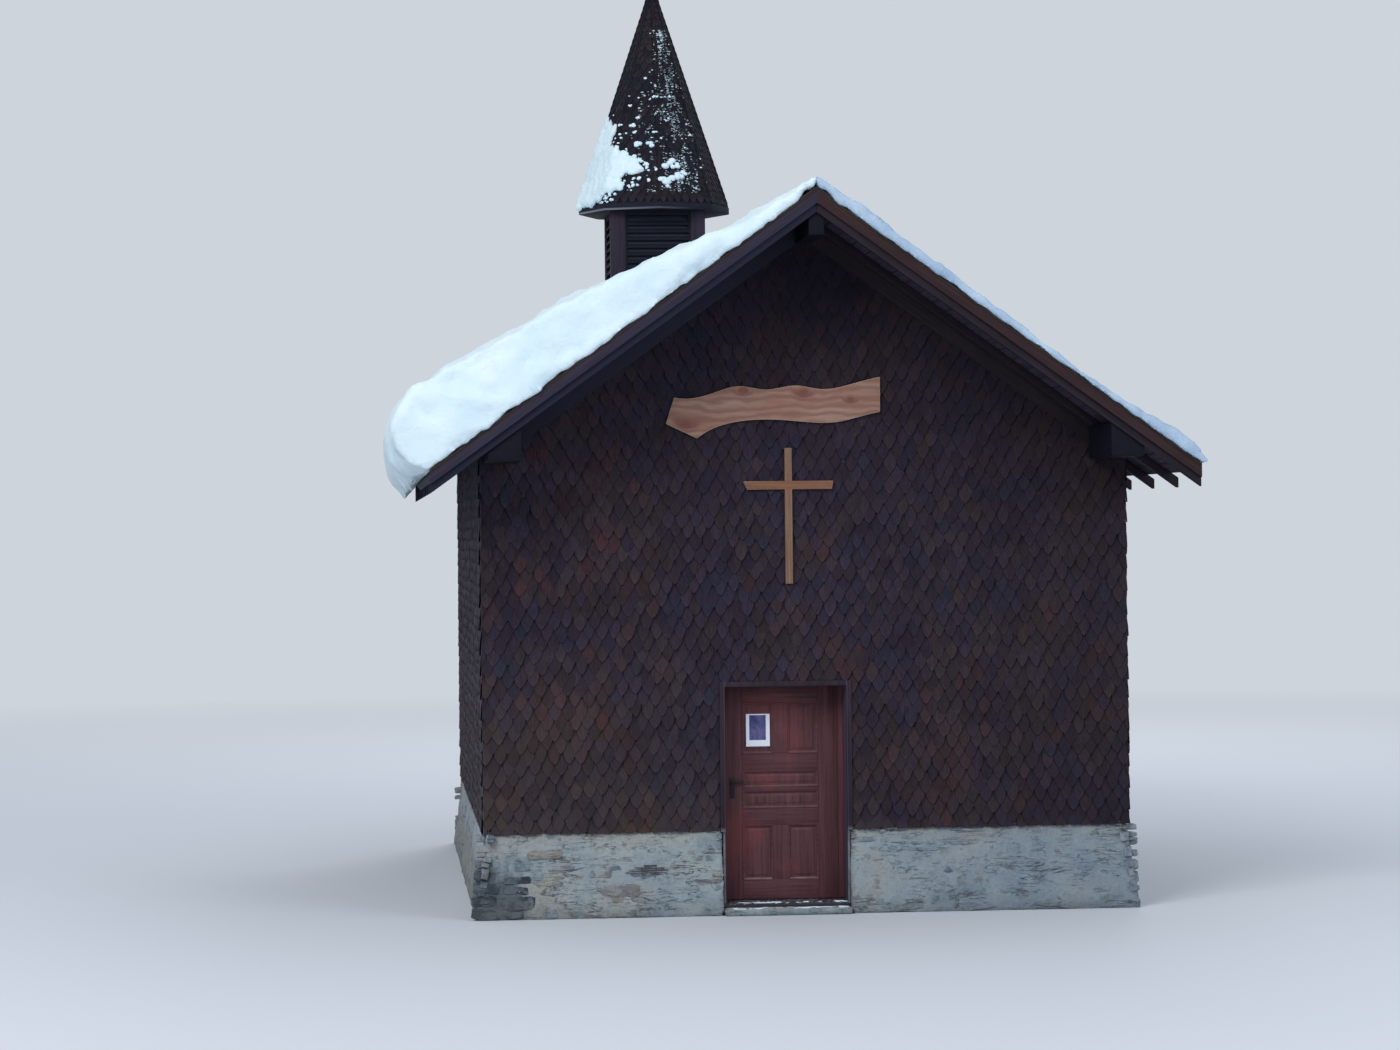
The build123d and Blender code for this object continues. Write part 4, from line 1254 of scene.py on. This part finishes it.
# Single lumps on the front faces: distance across from the axis, height over the foot, size
lone_lumps = (
    (-0.232, 0.80, 0.055), (-0.188, 0.88, 0.05), (-0.195, 0.594, 0.075), (-0.07, 0.587, 0.08),
    (-0.165, 0.433, 0.06), (-0.10, 0.352, 0.045), (-0.012, 0.323, 0.045), (-0.2, 0.249, 0.05),
    (-0.24, 0.24, 0.035), (-0.092, 0.22, 0.04), (-0.217, 0.726, 0.045), (-0.092, 1.298, 0.04),
    (-0.004, 1.10, 0.05), (-0.247, 1.012, 0.035), (-0.173, 1.086, 0.03), (-0.06, 1.07, 0.025),
    (0.1, 0.39, 0.13), (0.17, 0.37, 0.09), (0.05, 0.2, 0.11), (0.12, 0.23, 0.1), (0.2, 0.26, 0.09),
    (0.26, 0.3, 0.06), (0.09, 0.15, 0.05), (-0.02, 0.72, 0.04), (0.03, 0.66, 0.03), (0.0, 0.62, 0.03),
)


def azimuth_at(across, height):
    """The azimuth of the spire's front half where it lies that far across from its axis."""
    return min(range(180, 361), key=lambda angle: abs(spire_point(angle, height).x - turret_x - across))


def spire_snow():
    """The clotted patch on the weather side, lone lumps, and flecks caught on the shingles."""
    rng = random.Random(21)
    blob = model_blob("blob_pattern")
    heights, limits = zip(*patch_edge)
    places = []
    lumps = []
    while len(places) < patch_lumps:
        azimuth = rng.uniform(*patch_side)
        height = rng.uniform(0.0, 0.98) ** 1.15
        size = rng.uniform(0.07, 0.13) * (1 - 0.35 * height)
        point = spire_point(azimuth, height, lump_lift)
        beyond = point.x - turret_x - float(np.interp(height, heights, limits))
        sparse = 0.7 - 5.0 * max(beyond, 0.0) - 0.5 * height
        if azimuth > 180 and -0.07 < beyond < 0.13 and rng.random() < sparse:
            size = rng.uniform(0.018, 0.054)
            lumps.append(lump_at(point, size, turn=rng.uniform(0, 3)))
        if azimuth > 180 and beyond > -0.045:
            continue
        limit = 138 + 30 * noise.noise(Vector((height * 3.5, 0.0, 6.0)))
        if azimuth < limit:
            if azimuth > limit - 14 and rng.random() < 0.4:
                lumps.append(lump_at(point, rng.uniform(0.02, 0.055)))
            continue
        places.append(lump_at(point, size))
    patch = lay("spire_drift", blob, places)
    apply_modifier(patch, "REMESH", mode="VOXEL", voxel_size=0.02)
    apply_modifier(patch, "SMOOTH", factor=0.5, iterations=1)
    roughen(patch, 0.045, 0.012, seed=4.0)
    finish(settle(patch, "spire_drift", rounded), snow, replaced=("spire_snow",))
    for across, height, size in lone_lumps:
        for _ in range(3):
            azimuth = azimuth_at(across + rng.uniform(-0.35, 0.35) * size, height)
            point = spire_point(azimuth, height + rng.uniform(-0.2, 0.3) * size, lone_lift)
            lumps.append(lump_at(point, size * rng.uniform(0.6, 1.0)))
    finish(lay("spire_lumps", blob, lumps), snow)
    discard(blob)
    fleck = model_blob("fleck_pattern", 1)
    flecks = []
    frosted = []
    while len(flecks) + len(frosted) < fleck_count:
        azimuth = rng.gauss(292, 12)
        height = rng.uniform(0.1, 1.8)
        on_left = rng.random() < 0.14
        if on_left:
            azimuth = rng.uniform(*left_faces)
            height = rng.uniform(0.1, 1.2)
        density = noise.fractal(Vector((azimuth / 7, height * 6, 2.0)), 1.0, 2.0, 3)
        if not fleck_faces[0] < azimuth < fleck_faces[1] or density < (0.12 if on_left else -0.08):
            continue
        if 272 < azimuth < 305 and height > 0.62 and rng.random() < 0.3:
            continue
        wide = rng.uniform(0.008, 0.026) * (1.0 + max(density, 0.0))
        turn = rng.uniform(0, 3)
        shape = (1.0, 0.8, rng.uniform(0.4, 0.9))
        place = lump_at(spire_point(azimuth, height, fleck_lift), wide, shape, turn)
        (flecks if rng.random() < 0.3 else frosted).append(place)
    finish(lay("spire_flecks", fleck, flecks), snow)
    finish(lay("spire_rime", fleck, frosted), rime_crust)
    discard(fleck)


# Turret and spire


def spire_shingles():
    """Courses of small shingles on the eight faces of the spire."""
    pattern = model_shingle(
        spire_shingle_width, spire_shingle_length, spire_shingle_butt, spire_shingle_head
    )
    rng = random.Random(8)
    flat_radius = spire_radius * math.cos(spire_half_side)
    slant = math.hypot(spire_height, flat_radius)
    places = []
    varieties = []
    for side in range(8):
        angle = spire_half_side * (1 + 2 * side)
        outward = Vector((math.cos(angle), math.sin(angle), 0))
        along = Vector((-math.sin(angle), math.cos(angle), 0))
        upward = (Vector((0, 0, spire_height)) - outward * flat_radius).normalized()
        tilted = (upward - outward * 0.06).normalized()
        back = -(outward + Vector((0, 0, 1)) * flat_radius / spire_height).normalized()
        travelled = -0.01
        course = 0
        while travelled < slant - 0.1:
            share = 1 - max(travelled, 0) / slant
            half_side = flat_radius * math.tan(spire_half_side) * share
            offset = spire_shingle_width / 2 * (course % 2)
            count = int(half_side / spire_shingle_width) + 2
            farthest = max(half_side - spire_shingle_width * 0.4, 0.0)
            for n in range(-count, count + 1):
                distance = n * spire_shingle_width * 1.03 + offset + rng.uniform(-0.003, 0.003)
                if abs(distance) > farthest + spire_shingle_width:
                    continue
                distance = max(-farthest, min(farthest, distance))
                foot = Vector((turret_x, 0, spire_foot)) + outward * flat_radius + upward * travelled
                where = foot + along * distance - back * 0.008
                where += upward * rng.uniform(-0.005, 0.004)
                across = (along + upward * rng.gauss(0, 0.03)).normalized()
                places.append(axes(across, back, tilted, where))
                varieties.append((rng.random(), rng.random(), rng.uniform(0, 40)))
            travelled += spire_shingle_course
            course += 1
    finish(lay("spire_shingles", pattern, places, varieties), spire_shingle)
    discard(pattern)


def narrow_gaps(louvres):
    """Lets the lower front edge of each slat hang a little lower, as thick old slats do."""
    for vertex in louvres.data.vertices:
        reach = max(abs(vertex.co.x - turret_x), abs(vertex.co.y))
        if reach > turret_reach - 0.03 and vertex.normal.z < -0.3:
            vertex.co.z -= 0.013


def turret():
    """Posts, louvres, the spire's eave and its shingles."""
    eased("turret_posts", "turret_posts_wood", 0.006, turret_board)
    narrow_gaps(eased("turret_louvres", "turret_louvres_wood", 0.003, louvre_wood))
    eased("spire_eave", "spire_eave_wood", 0.006, fascia_wood)
    spire_shingles()
    nodes["spire_shell"].data.materials[0] = spire_shingle


# Entrance

stile_width = 0.206
muntin_width = 0.15
panel_width = 0.277
strip_width = 0.059
board_gap = 0.0008
panel_heights = ((0.285, 0.79), (0.948, 1.108), (1.142, 1.29), (1.453, 1.921))


def door_leaf():
    """Stiles, muntins and rails as separate boards, with mouldings and raised panels."""
    left = leaf_low.x + stile_width
    right = left + 2 * panel_width + muntin_width
    middle = left + panel_width
    tall_panels = (panel_heights[0], panel_heights[3])

    def board(name, x0, x1, z0=leaf_low.z, z1=leaf_high.z, proud=0.0):
        return box_piece(name, (x0, leaf_low.y - proud, z0), (x1, leaf_high.y, z1))

    uprights = [
        board("stile_left", leaf_low.x, left - board_gap),
        board("stile_right", right + board_gap, leaf_high.x - strip_width - 0.001),
        board("closing_strip", leaf_high.x - strip_width, leaf_high.x, proud=0.004),
    ]
    for z0, z1 in tall_panels:
        uprights.append(board("muntin", middle, middle + muntin_width, z0 + board_gap, z1 - board_gap))
    finish(join(uprights, "door_uprights"), door_up, "door", replaced=("door_leaf",))
    edges = [leaf_low.z, *(edge for panel in panel_heights for edge in panel), leaf_high.z]
    rails = [board("rail", left, right, z0, z1) for z0, z1 in zip(edges[0::2], edges[1::2])]
    finish(join(rails, "door_rails"), door_across, "door")
    columns = ((left, middle), (middle + muntin_width, right))
    boxes = [(*column, *height) for height in tall_panels for column in columns]
    boxes += [(left, right, *height) for height in panel_heights[1:3]]
    mouldings = [moulding(*sides) for sides in boxes]
    finish(join(mouldings, "panel_mouldings"), door_across, "door")
    eased("door_panels", "raised_panels", 0.003, door_up, "door")


def moulding(x0, x1, z0, z1):
    """A small stepped frame round a panel: a ring that slopes in from the rails to the panel."""
    size = (x1 - x0 + 0.004, z1 - z0 + 0.004, 1)
    centre = ((x0 + x1) / 2, leaf_low.y - 0.003, (z0 + z1) / 2)
    obj = added("plane", size, size=1, rotation=upright_turn, location=centre)
    edit(obj)
    for width, depth in ((0.009, 0.006), (0.011, 0.008)):
        bpy.ops.mesh.inset(thickness=width)
        bpy.ops.transform.translate(value=(0, depth, 0))
    bpy.ops.mesh.delete(type="ONLY_FACE")
    close_edit()
    apply_modifier(obj, "SOLIDIFY", thickness=0.008, offset=0.0)
    apply_modifier(obj, "BEVEL", width=0.0015, segments=2, limit_method="ANGLE")
    return settle(obj, "moulding")


def entrance():
    """Frame, sill, step, leaf, ironwork and notice."""
    eased("door_frame", "door_casing", 0.004, frame_wood)
    eased("door_sill", "door_sill_board", 0.004, sill_wood)
    step = copy_of("threshold_stone", "door_step")
    apply_modifier(step, "REMESH", mode="VOXEL", voxel_size=0.018)
    roughen(step, 0.2, 0.006, seed=2.0)
    finish(settle(step, "door_step", rounded), stone_step, replaced=("threshold_stone",))
    door_leaf()
    eased("door_lock", "lock_and_levers", 0.0015, iron, "door")
    eased("hinge_straps", "strap_hinges", 0.001, iron, "door")
    eased("hinge_pintles", "wall_pintles", 0.001, iron)
    notice()
    sill_snow()


def notice():
    """A sheet of paper, a little curled at its corners."""
    low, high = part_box("door_notice")
    size = high - low
    middle = (low.x + high.x) / 2
    obj = added(
        "grid", (size.x, size.z, 1), x_subdivisions=10, y_subdivisions=14, size=1, rotation=upright_turn,
        location=(middle, high.y - 0.0012, (low.z + high.z) / 2),
    )
    for vertex in obj.data.vertices:
        aside = abs(vertex.co.x - middle) / size.x * 2
        down = (high.z - vertex.co.z) / size.z
        vertex.co.y -= 0.004 * aside ** 4 * down ** 3 + 0.0012 * (1 + noise.noise(vertex.co * 14))
    apply_modifier(obj, "SOLIDIFY", thickness=0.0004, offset=0.0)
    finish(settle(obj, "paper_notice", rounded), paper, "door", replaced=("door_notice",))


# Lumps of snow on the sill, how many of them lie heaped at its left, and lumps on the step
sill_lumps = 70
heaped_lumps = 45
step_lumps = 120


def sill_snow():
    """Small heaps of blown snow on the sill and step."""
    rng = random.Random(14)
    blob = model_blob("heap_pattern")
    low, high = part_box("door_sill")
    step_low, step_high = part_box("threshold_stone")
    places = []
    for n in range(sill_lumps):
        heaped = n < heaped_lumps
        x = rng.gauss(low.x + 0.36, 0.1) if heaped else rng.uniform(low.x + 0.05, high.x - 0.05)
        y = rng.uniform(low.y + 0.02, low.y + 0.1)
        places.append(lump_at((x, y, high.z), rng.uniform(0.008, 0.03), (1.8, 1.0, 0.7)))
    for _ in range(step_lumps):
        x = rng.uniform(low.x + 0.04, high.x - 0.04)
        y = rng.uniform(step_low.y + 0.02, low.y - 0.01)
        places.append(lump_at((x, y, step_high.z - 0.004), rng.uniform(0.012, 0.04), (2.2, 1.2, 0.5)))
    finish(lay("sill_flecks", blob, places), snow)
    discard(blob)


# Cross and sign


def gable_pieces():
    """The half-lapped cross and the sign board."""
    low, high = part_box("cross")
    points = [vertex.co for vertex in nodes["cross"].data.vertices]
    bar_end = [point.z for point in points if abs(point.x - low.x) < 0.02]
    bar_foot, bar_top = min(bar_end), max(bar_end)
    post_foot = [point.x for point in points if point.z < low.z + 0.01]
    sides = (min(post_foot) + 0.004, max(post_foot) - 0.004)
    upright = box_piece("cross_upright", (sides[0], low.y, low.z), (sides[1], high.y, high.z), 0.005)
    finish(upright, cross_wood, replaced=("cross",))
    bar = box_piece("cross_bar", (low.x, low.y - 0.002, bar_foot), (high.x, high.y - 0.001, bar_top), 0.005)
    middle = (low.x + high.x) / 2
    level = (bar_foot + bar_top) / 2
    edit(bar)
    for side, inward in ((-1, 0.03), (1, -0.012)):
        select_where(bar, lambda vertex: vertex.co.z < level and (vertex.co.x - middle) * side > 0)
        bpy.ops.transform.translate(value=(inward, 0, 0))
    close_edit()
    finish(bar, cross_bar_wood)
    eased("sign_board", "waney_board", 0.011, sign_wood, segments=3)


# Walls, floor and cladding keep their construction shape


def plain_nodes():
    for name in (
        "front_wall_left", "front_wall_right", "front_gable", "rear_wall", "left_wall", "right_wall",
    ):
        nodes[name].data.materials[0] = plaster
    for name in ("front_cladding", "rear_cladding", "left_cladding", "right_cladding"):
        nodes[name].data.materials[0] = frame_wood
    nodes["floor_slab"].data.materials[0] = flags


wall_shingles()
plinth()
roof_pieces()
roof_snow()
turret()
spire_snow()
entrance()
gable_pieces()
plain_nodes()


# Stage, lights and camera


def stage():
    """A pale floor that fades into the backdrop."""
    floor = added("circle", vertices=96, radius=400, fill_type="NGON", location=(0, 0, -0.002))
    settle(floor, "pale_floor")
    look = Look("pale_floor", 0.9, specular=0.1)
    fade = look.place.length().spread(12.0, 40.0) * look.given("LightPath", "Is Camera Ray")
    glow = put(look.tree, "Emission", {"Color": backdrop, "Strength": 1.0})
    both = put(look.tree, "MixShader", {0: fade, 1: look.shader.outputs[0], 2: glow.outputs[0]})
    plug(look.tree, look.tree.nodes["Material Output"], {"Surface": both.outputs[0]})
    floor.data.materials.append(look.done(backdrop))


def sky():
    """Soft even light, with the pale backdrop for what the camera and glossy rays see."""
    world = bpy.data.worlds.new("studio")
    bpy.context.scene.world = world
    world.use_nodes = True
    tree = world.node_tree
    tree.nodes.clear()
    rays = put(tree, "LightPath").outputs
    seen = Value(tree, rays["Is Glossy Ray"]).maths("MAXIMUM", rays["Is Transmission Ray"])
    seen = seen.maths("MAXIMUM", rays["Is Camera Ray"])
    soft = put(tree, "Background", {"Color": (0.86, 0.92, 1.0, 1.0), "Strength": 0.62})
    pale = put(tree, "Background", {"Color": backdrop, "Strength": 1.0})
    both = put(tree, "MixShader", {0: seen, 1: soft.outputs[0], 2: pale.outputs[0]})
    put(tree, "OutputWorld", {"Surface": both.outputs[0]})


def lamp(name, place, target, size, power, colour=(1.0, 1.0, 1.0)):
    """A square area lamp turned to a point."""
    data = bpy.data.lights.new(name, "AREA")
    data.size = size
    data.energy = power
    data.color = colour
    obj = bpy.data.objects.new(name, data)
    obj.location = place
    obj.rotation_mode = "QUATERNION"
    obj.rotation_quaternion = (Vector(place) - Vector(target)).to_track_quat("Z", "Y")
    bpy.context.scene.collection.objects.link(obj)


eye = Vector((-3.98, -36.8, 3.57))
camera_yaw = math.radians(5.24)
camera_roll = math.radians(0.6)
camera_lens = 92.57


def camera():
    """The photograph's view: from the left, at the height of the cross, with a long lens."""
    forward = Vector((math.sin(camera_yaw), math.cos(camera_yaw), 0))
    level = Vector((math.cos(camera_yaw), -math.sin(camera_yaw), 0))
    upright = Vector((0, 0, 1))
    across = level * math.cos(camera_roll) - upright * math.sin(camera_roll)
    up = level * math.sin(camera_roll) + upright * math.cos(camera_roll)
    data = bpy.data.cameras.new("camera")
    data.sensor_width = 36.0
    data.lens = camera_lens
    data.clip_end = 1000
    obj = bpy.data.objects.new("camera", data)
    bpy.context.scene.collection.objects.link(obj)
    obj.matrix_world = axes(across, up, -forward, eye)
    bpy.context.scene.camera = obj


backdrop = paint(206, 212, 220)
stage()
sky()
lamp("key", (-16, -26, 22), (0, -2, 3), 14, 5200, (1.0, 0.98, 0.95))
lamp("fill", (18, -24, 12), (0, -2, 3), 14, 1800, (0.9, 0.95, 1.0))
lamp("back", (6, 26, 20), (0, 2, 4), 12, 2600)
camera()
bpy.context.scene.view_settings.view_transform = "Standard"
